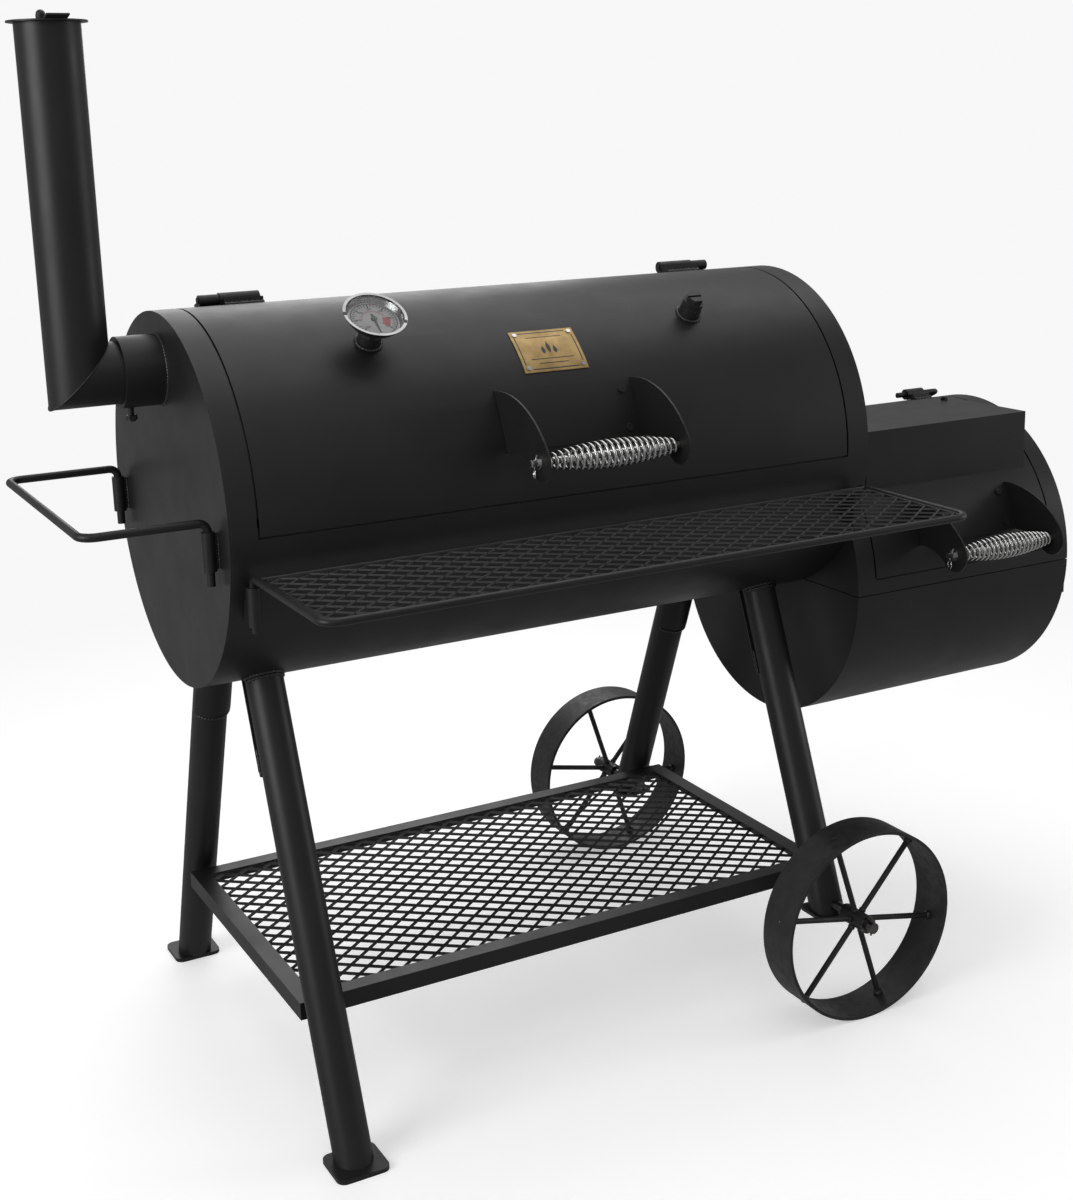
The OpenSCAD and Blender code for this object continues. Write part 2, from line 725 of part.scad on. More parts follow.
module firebox_handle() color(black) placed() on_firebox() turn_firebox_handle()
    handle_bracket(firebox_r, firebox_handle_reach, firebox_handle_len, firebox_handle_x);
module firebox_handle_rod() color(zinc) placed() on_firebox() turn_firebox_handle()
    grip_rod(firebox_r, firebox_handle_reach, firebox_handle_len, firebox_handle_x);
module firebox_handle_screws() color(dark) placed() on_firebox() turn_firebox_handle()
    at_screws(firebox_r, firebox_handle_len, firebox_handle_x) handle_screw();
module firebox_grip() color(zinc) placed() on_firebox() turn_firebox_handle()
    grip_barrel(firebox_r, firebox_handle_reach, firebox_handle_len, firebox_handle_x);

// ---- Things on the main lid ----

plate_half = plate_w / 2;

// Places a piece at each corner of the name plate
module at_plate_corners()
    for (x = [plate_x - plate_half + 7, plate_x + plate_half - 7], a = [-1, 1])
        radial(x, plate_angle + a * (plate_span / 2 - 1.6), chamber_r + weld_gap) children();

module name_plate() color(brass) placed() on_chamber() difference() {
    bent_sheet(chamber_r + weld_gap + plate_t, plate_t, plate_angle - plate_span / 2, plate_angle + plate_span / 2,
        plate_x - plate_half, plate_x + plate_half);
    at_plate_corners() translate([0, 0, -5]) cylinder(d = 3 + 2 * pin_fit, h = 10, $fn = small_fn);
}

module name_plate_rivets() color(zinc) placed() on_chamber() at_plate_corners() {
    cylinder(d = 3, h = plate_t + 1, $fn = small_fn);
    translate([0, 0, plate_t + 0.1]) cylinder(d = 6.5, h = 1.3, $fn = small_fn);
}

module lid_bungs() color(dark) placed() on_chamber() for (x = [thermometer_x, port_x])
    radial(x, port_angle, chamber_r) difference() {
        translate([0, 0, weld_gap]) cylinder(d = bung_d, h = bung_h - weld_gap, $fn = round_fn);
        translate([0, 0, -20]) cylinder(d = port_hole_d, h = 60, $fn = small_fn);
        bung_seat_cut();
    }

// Clears the drum's own curve from the foot of a bung
module bung_seat_cut() translate([0, 0, -chamber_r]) bar_x(2 * (chamber_r + weld_gap), -bung_d, bung_d, 180);

module port_plug() color(dark) placed() on_chamber() radial(port_x, port_angle, chamber_r + bung_h + weld_gap) {
    translate([0, 0, -18]) cylinder(d = port_hole_d - 2 * seat_gap, h = 18.5, $fn = small_fn);
    cylinder(d = plug_d, h = plug_h, $fn = round_fn);
    translate([0, 0, plug_h]) difference() {
        cylinder(d = plug_head_d, h = plug_head_h, $fn = 6);
        translate([-plug_head_d, -plug_slot_w / 2, plug_head_h - plug_slot_h])
            cube([2 * plug_head_d, plug_slot_w, plug_slot_h + 1]);
    }
}

neck_d = 15;
case_r = dial_d / 2;
case_wall = 2;

module thermometer_case() color(zinc) placed() on_chamber() radial(thermometer_x, port_angle, chamber_r) {
    translate([0, 0, -stem_in]) cylinder(d = stem_d, h = stem_in + bung_h + 1, $fn = small_fn);
    translate([0, 0, bung_h + weld_gap]) cylinder(d = 19, h = 7, $fn = 6);
    translate([0, 0, bung_h + weld_gap]) cylinder(d = neck_d, h = dial_height - case_depth - bung_h, $fn = small_fn);
    translate([0, 0, dial_height - case_depth]) rotate_extrude($fn = round_fn) polygon([
        [0, 0], [case_r - 14, 0], [case_r - 9, 3], [case_r - 5, 8], [case_r - 1, case_depth - 2],
        [case_r, case_depth], [case_r - 4, case_depth], [case_r - 4, case_depth - 3.5],
        [case_r - 8, 5], [0, 5]
    ]);
}

dial_z = dial_height - case_depth + 5;
dial_r = case_r - 9;

module thermometer_dial() color("#e8e6e0") placed() on_chamber()
    radial(thermometer_x, port_angle, chamber_r + dial_z + 0.1) difference() {
        cylinder(r = dial_r, h = dial_t, $fn = round_fn);
        translate([0, 0, -1]) cylinder(d = 3, h = 5, $fn = small_fn);
    }

needle_len = dial_r - 7;

module thermometer_needle() color("#151515") placed() on_chamber()
    radial(thermometer_x, port_angle, chamber_r + dial_z + dial_t + 0.1 + seat_gap) {
        cylinder(d = 8, h = 2.2, $fn = small_fn);
        translate([0, 0, 0.6]) linear_extrude(0.8) polygon([[-1.6, 3], [1.6, 3], [0.5, -needle_len], [-0.5, -needle_len]]);
        translate([0, 0, 0.6]) linear_extrude(0.8) polygon([[-2.2, 0], [2.2, 0], [1.6, 9], [-1.6, 9]]);
    }

module thermometer_glass() color("#d8e4e8", 0.35) placed() on_chamber()
    radial(thermometer_x, port_angle, chamber_r + dial_height - 3.4)
        cylinder(r = case_r - 4.2, h = glass_t, $fn = round_fn);

// ---- Side handle and front shelf ----

module rod_sockets() color(dark) placed() {
    front_and_back() translate([side_socket_x, -side_span / 2, side_bar_z - down_bend - socket_len]) {
        tube(side_bar_d + 2 * seat_gap, socket_wall, socket_len);
        socket_web_x = -side_socket_x - side_bar_d / 2 - seat_gap - 1;
        translate([side_bar_d / 2 + seat_gap + 1, -5, 3]) cube([socket_web_x, 10, socket_len - 6]);
    }
    both_ends(chamber_len) translate([shelf_inset, -shelf_socket_y, shelf_z - down_bend - socket_len]) {
        tube(shelf_bar_d + 2 * seat_gap, socket_wall, socket_len);
        difference() {
            translate([-5, shelf_bar_d / 2 + seat_gap + 1, 3]) cube([10, 60, socket_len - 6]);
            translate([0, shelf_socket_y, axis_height - shelf_z + down_bend + socket_len])
                bar_x(2 * (chamber_r + weld_gap), -10, 10, 180);
        }
    }
}

// An upright tube of a given bore
module tube(bore, wall, h) difference() {
    cylinder(d = bore + 2 * wall, h = h, $fn = small_fn);
    translate([0, 0, -1]) cylinder(d = bore, h = h + 2, $fn = small_fn);
}

module side_handle() color(black) placed() bent_bar([
    [side_socket_x, side_span / 2, side_bar_z - side_tail],
    [side_socket_x, side_span / 2, side_bar_z],
    [-side_reach, side_span / 2, side_bar_z],
    [-side_reach, -side_span / 2, side_bar_z],
    [side_socket_x, -side_span / 2, side_bar_z],
    [side_socket_x, -side_span / 2, side_bar_z - side_tail]
], side_bar_d, [down_bend, bar_bend, bar_bend, down_bend]);

shelf_x1 = chamber_len - shelf_inset;

module front_shelf_bar() color(black) placed() {
    bent_bar([
        [shelf_inset, -shelf_socket_y, shelf_z - shelf_tail],
        [shelf_inset, -shelf_socket_y, shelf_z],
        [shelf_inset, -shelf_out, shelf_z],
        [shelf_x1, -shelf_out, shelf_z],
        [shelf_x1, -shelf_socket_y, shelf_z],
        [shelf_x1, -shelf_socket_y, shelf_z - shelf_tail]
    ], shelf_bar_d, [down_bend, bar_bend, bar_bend, down_bend]);
    translate([0, -shelf_socket_y - down_bend - shelf_bar_d / 2, shelf_z]) bar_x(shelf_bar_d - 2, shelf_inset, shelf_x1, small_fn);
}

mesh_t = 2;

// A flat rectangle with rounded corners
module rounded_rect(l, w, corner) {
    square([l - 2 * corner, w], center = true);
    square([l, w - 2 * corner], center = true);
    for (x = [-1, 1], y = [-1, 1]) translate([x * (l / 2 - corner), y * (w / 2 - corner)]) circle(r = corner, $fn = small_fn);
}

// A sheet of diamond openings in a solid rim
module diamond_sheet(x0, x1, y0, y1, corner) linear_extrude(mesh_t) difference() {
    translate([(x0 + x1) / 2, (y0 + y1) / 2]) rounded_rect(x1 - x0, y1 - y0, corner);
    cols = floor((x1 - x0 - strand) / diamond_l);
    rows = floor((y1 - y0 - strand) / diamond_w);
    step_x = (x1 - x0 - strand) / cols;
    step_y = (y1 - y0 - strand) / rows;
    half = [(step_x - strand) / 2, (step_y - strand) / 2];
    for (i = [0:2 * cols - 2], j = [0:2 * rows - 2])
        if (i % 2 == j % 2)
            translate([x0 + strand / 2 + (i + 1) * step_x / 2, y0 + strand / 2 + (j + 1) * step_y / 2])
                polygon([[-half[0], 0], [0, -half[1]], [half[0], 0], [0, half[1]]]);
}

module front_shelf_mesh() color(dark) placed() translate([0, 0, shelf_z])
    diamond_sheet(shelf_inset + shelf_bar_d / 2 + seat_gap, shelf_x1 - shelf_bar_d / 2 - seat_gap,
        -shelf_out + shelf_bar_d / 2 + seat_gap, -shelf_socket_y - down_bend - shelf_bar_d - seat_gap,
        bar_bend - shelf_bar_d / 2 - seat_gap);

// ---- Legs, wheels and bottom shelf ----

// Draws a piece along a front leg, its own Z axis running up the leg from the ground
module on_leg(x) translate([x, -leg_foot_y, 0]) rotate([-leg_lean, 0, 0]) children();

module leg_tube(x, low) difference() {
    on_leg(x) translate([0, 0, -60]) difference() {
        cylinder(d = leg_d, h = leg_len + 100, $fn = round_fn);
        translate([0, 0, -1]) cylinder(d = leg_d - 2 * leg_wall, h = through, $fn = round_fn);
    }
    translate([x, 0, axis_height]) bar_x(2 * (chamber_r + weld_gap), -leg_d, leg_d, 180);
    translate([x - leg_d, -through / 2, low - through]) cube([2 * leg_d, through, through]);
    on_leg(x) socket_bolt_hole();
    shelf_bolt_hole(x);
    if (low > foot_t) translate([x, 0, wheel_r]) bar_y(axle_d + 2 * pin_fit, -leg_foot_y, 0);
}

socket_bolt_z = leg_len - 42;

module socket_bolt_hole() translate([0, 0, socket_bolt_z]) bar_y(bolt_d + 2 * pin_fit, 0, leg_d, small_fn);

shelf_bolt_z = low_shelf_z - angle_w / 2;
// Where the legs' inner faces pass a given height
function leg_inner_y(z) = leg_foot_y - z * tan(leg_lean) - leg_d / 2 / cos(leg_lean);
low_shelf_y = leg_inner_y(low_shelf_z) - seat_gap;

module shelf_bolt_hole(x) translate([x, 0, shelf_bolt_z]) bar_y(bolt_d + 2 * pin_fit, -leg_inner_y(shelf_bolt_z) - 8, 0, small_fn);

module foot_legs() color(black) placed() front_and_back() leg_tube(leg_inset, foot_t);
module wheel_legs() color(black) placed() front_and_back() leg_tube(wheel_x, leg_end_z);

module leg_sockets() color(black) placed() front_and_back() for (x = leg_xs) difference() {
    on_leg(x) translate([0, 0, leg_len - sleeve_len]) intersection() {
        difference() {
            cylinder(d = leg_d + 2 * weld_gap + 2 * sleeve_wall, h = sleeve_len + 60, $fn = round_fn);
            translate([0, 0, -1]) cylinder(d = leg_d + 2 * weld_gap, h = through, $fn = round_fn);
        }
        translate([-leg_d, leg_d / 2 * cos(sleeve_half_angle), -1]) cube([2 * leg_d, leg_d, sleeve_len + 100]);
    }
    translate([x, 0, axis_height]) bar_x(2 * (chamber_r + weld_gap), -leg_d, leg_d, 180);
    on_leg(x) socket_bolt_hole();
}

module leg_plates() color(black) placed() front_and_back() {
    translate([leg_inset, -leg_foot_y - foot_shift, 0]) linear_extrude(foot_t - weld_gap) rounded_rect(foot_l, foot_w, foot_corner);
    translate([wheel_x, -leg_foot_y + leg_end_z * tan(leg_lean), leg_end_z - leg_plate_t - weld_gap])
        linear_extrude(leg_plate_t) rounded_rect(leg_plate_w, leg_plate_w, foot_corner);
}

// A hexagonal bolt pointing along +Z, with its head's seat at the origin
module hex_bolt(length) {
    mirror([0, 0, 1]) hex_head(bolt_head_d, bolt_head_h);
    cylinder(d = bolt_d, h = length, $fn = small_fn);
}

module frame_bolts() color(dark) placed() front_and_back() for (x = leg_xs) {
    on_leg(x) translate([0, leg_d / 2 + weld_gap + sleeve_wall + seat_gap, socket_bolt_z]) rotate([90, 0, 0]) hex_bolt(14);
    translate([x, -low_shelf_y + angle_t + seat_gap, shelf_bolt_z]) rotate([90, 0, 0]) hex_bolt(20);
}

module bottom_shelf_frame() color(black) placed() difference() {
    translate([low_shelf_x0, -low_shelf_y, low_shelf_z - angle_w])
        cube([low_shelf_x1 - low_shelf_x0, 2 * low_shelf_y, angle_w]);
    translate([low_shelf_x0 + angle_t, -low_shelf_y + angle_t, low_shelf_z - angle_w - 1])
        cube([low_shelf_x1 - low_shelf_x0 - 2 * angle_t, 2 * (low_shelf_y - angle_t), angle_w - angle_t + 1]);
    translate([low_shelf_x0 + angle_w, -low_shelf_y + angle_w, low_shelf_z - angle_w])
        cube([low_shelf_x1 - low_shelf_x0 - 2 * angle_w, 2 * (low_shelf_y - angle_w), 2 * angle_w]);
    for (x = leg_xs) translate([x, 0, shelf_bolt_z]) bar_y(bolt_d + 2 * pin_fit, -through, through, small_fn);
}

module bottom_shelf_mesh() color(dark) placed() translate([0, 0, low_shelf_z - angle_t - mesh_t - seat_gap])
    diamond_sheet(low_shelf_x0 + angle_t + seat_gap, low_shelf_x1 - angle_t - seat_gap,
        -low_shelf_y + angle_t + bolt_head_h + 2 * seat_gap, low_shelf_y - angle_t - bolt_head_h - 2 * seat_gap, angle_t);

axle_in = leg_foot_y - wheel_r * tan(leg_lean) - leg_d / 2 - 6;
hub_in = wheel_y - hub_len / 2;
hub_out = wheel_y + hub_len / 2;

module stub_axles() color(zinc) placed() front_and_back() translate([wheel_x, 0, wheel_r]) difference() {
    bar_y(axle_d, -hub_out - axle_tail, -axle_in, small_fn);
    cotter(cotter_d + 2 * pin_fit);
}

// The cross pin that keeps a wheel on its axle
module cotter(d) translate([0, -hub_out - keeper_t - cotter_out, -axle_d / 2 - 5])
    cylinder(d = d, h = axle_d + 10, $fn = 16);

module axle_keepers() color(zinc) placed() front_and_back() translate([wheel_x, 0, wheel_r]) {
    for (y = [-hub_out - seat_gap - keeper_t, -hub_in + seat_gap]) difference() {
        bar_y(keeper_d, y, y + keeper_t, small_fn);
        bar_y(axle_d + 2 * pin_fit, -through, through, small_fn);
    }
    cotter(cotter_d);
}

module wheel() difference() {
    union() {
        rotate([90, 0, 0]) rotate_extrude($fn = 180) translate([wheel_r - rim_t, -rim_w / 2]) square([rim_t, rim_w]);
        bar_y(hub_d, -hub_len / 2, hub_len / 2);
        for (i = [0:spoke_count - 1]) rotate([0, spoke_phase + i * 360 / spoke_count, 0])
            bar_x(spoke_d, hub_d / 2 - 2, wheel_r - rim_t / 2, small_fn);
    }
    bar_y(axle_d + 2 * pin_fit, -hub_len, hub_len);
}

module wheel_front() color(black) placed() translate([wheel_x, -wheel_y, wheel_r]) wheel();
module wheel_rear() color(black) placed() translate([wheel_x, wheel_y, wheel_r]) wheel();

// ---- Firebox ----

seam = 1.5;

// A closed drum of sheet, its open inside cut away
module firebox_drum() difference() {
    bar_x(firebox_d, 0, firebox_len, 180);
    bar_x(firebox_d - 2 * steel, steel, firebox_len - steel, 180);
}

module firebox_lower() color(black) placed() difference() {
    on_firebox() difference() {
        firebox_drum();
        translate([-1, -firebox_r - 1, -seam / 2]) cube([firebox_len + 2, firebox_d + 2, firebox_d]);
        damper_axis() {
            for (i = [0:vent_count - 1]) rotate([i * 360 / vent_count, 0, 0]) translate([0, 0, vent_pcd / 2])
                bar_x(vent_d, -20, 20, small_fn);
            bar_x(damper_bolt_d + 2 * pin_fit, -20, 20, small_fn);
        }
    }
}

module firebox_upper() color(black) placed() difference() {
    on_firebox() difference() {
        firebox_drum();
        translate([-1, -firebox_r - 1, seam / 2 - firebox_d]) cube([firebox_len + 2, firebox_d + 2, firebox_d]);
        lid_cut(firebox_r, firebox_lid_front_angle - arc_angle(lid_gap, firebox_r),
            firebox_rear_angle + arc_angle(lid_gap, firebox_r), firebox_lid_x0 - lid_gap, firebox_lid_x1 + lid_gap);
    }
    throat_cut();
}

lug_y = firebox_r - 34;
lug_drop = 60;

module seam_lugs() color(dark) placed() on_firebox() front_and_back()
    translate([firebox_len + weld_gap, -lug_y - 24, 0]) {
        translate([0, 0, -lug_drop]) cube([6, 24, lug_drop - 2]);
        translate([0, 0, 2]) cube([6, 24, 20]);
        translate([3, 12, -2]) cylinder(d = 4, h = 4, $fn = small_fn);
    }

module damper_axis() translate([firebox_len, 0, -damper_drop]) children();

module air_damper() color(dark) placed() on_firebox() damper_axis() {
    difference() {
        bar_x(damper_d, seat_gap, damper_t + seat_gap);
        for (i = [0:vent_count - 1]) rotate([60 + i * 360 / vent_count, 0, 0]) translate([0, 0, vent_pcd / 2])
            bar_x(vent_d, -20, 20, small_fn);
        bar_x(damper_bolt_d + 2 * pin_fit, -20, 20, small_fn);
    }
    translate([damper_t, -9, damper_d / 2 - 22]) cube([damper_tab, 18, 3]);
}

module damper_bolt() color(zinc) placed() on_firebox() damper_axis() {
    bar_x(damper_bolt_d, -steel - 12, damper_t + 9, small_fn);
    translate([damper_t + 2 * seat_gap, 0, 0]) bar_x(18, 0, 8, 6);
    translate([-steel - seat_gap - 7, 0, 0]) bar_x(18, 0, 7, 6);
}

chamber_shell();
chamber_end_left();
chamber_end_right();
lid_rests();
grate_rails();
chimney_collar();
chimney_screw();
chimney_elbow();
chimney_pipe();
cap_pivot();
chimney_cap();
shell_hinge_barrels();
hinge_pins();
rod_sockets();
side_handle();
front_shelf_bar();
front_shelf_mesh();
main_lid();
lid_hinge_barrels();
lid_handle();
lid_handle_rod();
lid_handle_screws();
lid_grip();
name_plate();
name_plate_rivets();
lid_bungs();
port_plug();
thermometer_case();
thermometer_dial();
thermometer_needle();
thermometer_glass();
cooking_grate_left();
cooking_grate_right();
leg_sockets();
foot_legs();
wheel_legs();
leg_plates();
frame_bolts();
bottom_shelf_frame();
bottom_shelf_mesh();
stub_axles();
axle_keepers();
wheel_front();
wheel_rear();
firebox_lower();
firebox_upper();
seam_lugs();
firebox_lid();
warming_box();
box_bolt();
firebox_hinge_barrels();
firebox_handle();
firebox_handle_rod();
firebox_handle_screws();
firebox_grip();
charcoal_grate();
air_damper();
damper_bolt();
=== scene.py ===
"""The offset smoker's finishes, coiled grips, expanded metal, welds, dial and studio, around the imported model."""
import logging
import math
from dataclasses import dataclass, field
from enum import Enum
from typing import Callable, Sequence

import bpy
from mathutils import Matrix, Vector, noise


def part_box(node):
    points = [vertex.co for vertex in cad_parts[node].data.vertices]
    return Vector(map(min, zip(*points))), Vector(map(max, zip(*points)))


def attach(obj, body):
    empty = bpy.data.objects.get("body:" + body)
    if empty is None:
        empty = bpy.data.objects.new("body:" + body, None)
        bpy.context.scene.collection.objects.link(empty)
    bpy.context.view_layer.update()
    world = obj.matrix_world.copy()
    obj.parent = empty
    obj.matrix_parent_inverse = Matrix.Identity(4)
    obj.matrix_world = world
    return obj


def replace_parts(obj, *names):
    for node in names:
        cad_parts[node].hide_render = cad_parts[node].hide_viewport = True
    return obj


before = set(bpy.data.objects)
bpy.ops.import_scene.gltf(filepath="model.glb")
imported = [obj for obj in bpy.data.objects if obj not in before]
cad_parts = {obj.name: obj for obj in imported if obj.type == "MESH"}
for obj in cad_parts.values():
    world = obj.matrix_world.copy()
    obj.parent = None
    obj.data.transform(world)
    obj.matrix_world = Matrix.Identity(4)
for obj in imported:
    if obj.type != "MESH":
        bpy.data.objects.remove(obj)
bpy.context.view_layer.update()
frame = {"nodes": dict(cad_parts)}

Rgb = tuple[float, float, float]
Place = Callable[[float, float, float], Vector]
log = logging.getLogger("smoker")

MM = 0.001
TAU = 2 * math.pi


def circle(count: int) -> list[float]:
    """Evenly spaced angles of a full turn, in radians."""
    return [TAU * i / count for i in range(count)]


def placed(name: str, data: bpy.types.ID) -> bpy.types.Object:
    """Makes an object from its data and links it to the scene.

    Args:
        name: The object's name.
        data: Its mesh, text, light or camera.

    Returns:
        The object.
    """
    item = bpy.data.objects.new(name, data)
    bpy.context.scene.collection.objects.link(item)
    return item


class Slot(Enum):
    """The record's material slots."""

    ENAMEL = "black_enamel"
    STEEL = "dark_steel"
    IRON = "grate_iron"
    ZINC = "zinc"
    BRASS = "brass"
    DIAL = "dial_white"
    NEEDLE = "needle_black"
    GLASS = "glass"


class NodeBench:
    """Places and links the nodes of one material."""

    EDGE_START, EDGE_FULL = 0.985, 0.8
    MIX_FACTOR, MIX_A, MIX_B, MIX_COLOUR = 0, 6, 7, 2

    def __init__(self, name: str) -> None:
        """Starts an empty material.

        Args:
            name: The material's name.
        """
        self.material = bpy.data.materials.new(name)
        self.material.use_nodes = True
        self.tree = self.material.node_tree
        self.shader = self.tree.nodes["Principled BSDF"]

    def add(self, kind: str, **sockets: object) -> bpy.types.Node:
        """Adds a node and fills its sockets.

        Args:
            kind: The node's type without its ShaderNode prefix.
            sockets: Socket names, with underscores for spaces, and a value or an output socket for each.

        Returns:
            The new node.
        """
        node = self.tree.nodes.new("ShaderNode" + kind)
        for key, value in sockets.items():
            self.feed(node.inputs[key.replace("_", " ")], value)
        return node

    def feed(self, socket: bpy.types.NodeSocket, value: object) -> None:
        """Gives a socket a link or a plain value.

        Args:
            socket: The socket to fill.
            value: An output socket to link, or a value to set.
        """
        if isinstance(value, bpy.types.NodeSocket):
            self.tree.links.new(value, socket)
        else:
            socket.default_value = value

    def place(self, stretch: Rgb = (1.0, 1.0, 1.0)) -> bpy.types.NodeSocket:
        """Object coordinates, scaled along each axis.

        Args:
            stretch: The scale along X, Y and Z.

        Returns:
            The vector output.
        """
        coords = self.add("TexCoord").outputs["Object"]
        return self.add("Mapping", Vector=coords, Scale=stretch).outputs["Vector"]

    def speckle(self, vector: bpy.types.NodeSocket, scale: float, detail: float = 4.0) -> bpy.types.NodeSocket:
        """A noise between 0 and 1.

        Args:
            vector: Where the noise is read.
            scale: Its scale, per metre.
            detail: How many finer layers it has.

        Returns:
            The noise's factor output.
        """
        return self.add("TexNoise", Vector=vector, Scale=scale, Detail=detail, Roughness=0.55).outputs["Fac"]

    def remap(
        self, value: bpy.types.NodeSocket, lo: float, hi: float, out_lo: float, out_hi: float
    ) -> bpy.types.NodeSocket:
        """Maps a value from one range to another, clamped.

        Args:
            value: The value to map.
            lo: Start of the range it is read from.
            hi: End of the range it is read from.
            out_lo: Result at the start.
            out_hi: Result at the end.

        Returns:
            The mapped value.
        """
        node = self.add("MapRange", Value=value, From_Min=lo, From_Max=hi, To_Min=out_lo, To_Max=out_hi)
        return node.outputs["Result"]

    def blend(self, factor: bpy.types.NodeSocket, a: object, b: object) -> bpy.types.NodeSocket:
        """Mixes two colours.

        Args:
            factor: 0 for the first colour and 1 for the second.
            a: The first colour or colour output.
            b: The second colour or colour output.

        Returns:
            The mixed colour.
        """
        node = self.tree.nodes.new("ShaderNodeMix")
        node.data_type = "RGBA"
        self.feed(node.inputs[self.MIX_FACTOR], factor)
        for number, colour in ((self.MIX_A, a), (self.MIX_B, b)):
            self.feed(node.inputs[number], colour if isinstance(colour, bpy.types.NodeSocket) else (*colour, 1.0))
        return node.outputs[self.MIX_COLOUR]

    def product(self, a: bpy.types.NodeSocket, b: object) -> bpy.types.NodeSocket:
        """Multiplies two values.

        Args:
            a: The first value's output.
            b: The second value, plain or an output.

        Returns:
            The product.
        """
        node = self.add("Math", Value=a)
        node.operation = "MULTIPLY"
        self.feed(node.inputs[1], b)
        return node.outputs[0]

    def edges(self, radius: float) -> bpy.types.NodeSocket:
        """How close a point is to a sharp edge.

        Args:
            radius: How far from an edge it reaches, in metres.

        Returns:
            A factor that is 0 on flat surfaces and rises at edges.
        """
        rounded = self.add("Bevel", Radius=radius).outputs["Normal"]
        plain = self.add("NewGeometry").outputs["Normal"]
        dot = self.tree.nodes.new("ShaderNodeVectorMath")
        dot.operation = "DOT_PRODUCT"
        self.feed(dot.inputs[0], rounded)
        self.feed(dot.inputs[1], plain)
        return self.remap(dot.outputs["Value"], self.EDGE_START, self.EDGE_FULL, 0.0, 1.0)


BLOTCH_RANGE = (0.35, 0.68)
PATCH_RANGE = (0.38, 0.62)
GLOSS_RANGE = (0.3, 0.7)
HAZE_RANGE = (0.4, 0.8)


@dataclass(frozen=True)
class Finish:
    """One surface finish: its colours, gloss, grain, and an edge colour that is partly wear and partly a painted
    edge highlight.
    """

    slot: Slot
    base: Rgb
    blotch: Rgb
    rough: tuple[float, float]
    metallic: float = 0.0
    blotch_scale: float = 7.0
    grain_scale: float = 900.0
    grain_depth: float = 0.00005
    grain_stretch: Rgb = (1.0, 1.0, 1.0)
    lump_scale: float = 60.0
    lump_depth: float = 0.0001
    worn: Rgb = (0.1, 0.1, 0.1)
    wear_and_highlight: float = 0.0
    wear_and_highlight_radius: float = 0.0012
    wear_and_highlight_patches: float = 45.0
    specular: float = 0.5

    def material(self, name: str) -> bpy.types.Material:
        """Builds the finish as a procedural material.

        Args:
            name: The material's name.

        Returns:
            The material.
        """
        bench = NodeBench(name)
        place = bench.place()
        large = bench.speckle(place, self.blotch_scale, 5.0)
        fine = bench.speckle(bench.place(self.grain_stretch), self.grain_scale, 3.0)
        lumps = bench.speckle(place, self.lump_scale, 3.0)
        colour = bench.blend(bench.remap(large, *BLOTCH_RANGE, 0.0, 1.0), self.base, self.blotch)
        # Edges get their own colour. On the black finishes it is a lighter grey that is partly worn paint and
        # partly a painted edge highlight. On brass it is a darker patina.
        if self.wear_and_highlight > 0:
            patchy = bench.remap(bench.speckle(place, self.wear_and_highlight_patches, 6.0), *PATCH_RANGE, 0.15, 1.0)
            wear_and_highlight_amount = bench.product(bench.product(bench.edges(self.wear_and_highlight_radius), patchy), self.wear_and_highlight)
            colour = bench.blend(wear_and_highlight_amount, colour, self.worn)
        bench.feed(bench.shader.inputs["Base Color"], colour)
        gloss = bench.remap(lumps, *GLOSS_RANGE, *self.rough)
        bench.feed(bench.shader.inputs["Roughness"], gloss)
        lump_bump = bench.add("Bump", Height=lumps, Distance=self.lump_depth, Strength=1.0)
        grain_bump = bench.add("Bump", Height=fine, Distance=self.grain_depth, Normal=lump_bump.outputs["Normal"])
        bench.feed(bench.shader.inputs["Normal"], grain_bump.outputs["Normal"])
        bench.shader.inputs["Metallic"].default_value = self.metallic
        bench.shader.inputs["Specular IOR Level"].default_value = self.specular
        return bench.material


@dataclass(frozen=True)
class Glazing:
    """Clear cover glass with a faint haze of soot."""

    slot: Slot = Slot.GLASS
    tint: Rgb = (0.97, 0.98, 0.98)
    haze: Rgb = (0.93, 0.95, 0.95)
    haze_scale: float = 120.0
    rough: tuple[float, float] = (0.01, 0.06)
    bending: float = 1.2

    def material(self, name: str) -> bpy.types.Material:
        """Builds the glass.

        Args:
            name: The material's name.

        Returns:
            The material.
        """
        bench = NodeBench(name)
        haze = bench.speckle(bench.place(), self.haze_scale, 4.0)
        bench.feed(bench.shader.inputs["Roughness"], bench.remap(haze, *HAZE_RANGE, *self.rough))
        bench.feed(bench.shader.inputs["Base Color"], bench.blend(haze, self.tint, self.haze))
        bench.shader.inputs["Transmission Weight"].default_value = 1.0
        bench.shader.inputs["IOR"].default_value = self.bending
        return bench.material


# ENAMEL, STEEL and RIM edges are painted a lighter grey: partly wear, partly a painted edge highlight.
ENAMEL = Finish(
    Slot.ENAMEL, (0.0085, 0.0085, 0.0088), (0.0125, 0.0125, 0.0128), (0.40, 0.47), grain_scale=1500.0,
    grain_depth=0.00003, lump_scale=18.0, lump_depth=0.00004, worn=(0.05, 0.05, 0.05), wear_and_highlight=0.6, specular=0.36,
)
STEEL = Finish(
    Slot.STEEL, (0.0085, 0.0085, 0.0087), (0.017, 0.0168, 0.0165), (0.38, 0.55), blotch_scale=16.0,
    grain_scale=700.0, grain_depth=0.00008, worn=(0.08, 0.078, 0.076), wear_and_highlight=0.6, specular=0.42,
)
RIM = Finish(
    Slot.STEEL, (0.0105, 0.0105, 0.0105), (0.024, 0.0235, 0.023), (0.42, 0.64), blotch_scale=24.0,
    grain_scale=420.0, grain_depth=0.0002, lump_scale=90.0, lump_depth=0.0003, worn=(0.08, 0.076, 0.072),
    wear_and_highlight=0.6, specular=0.42,
)
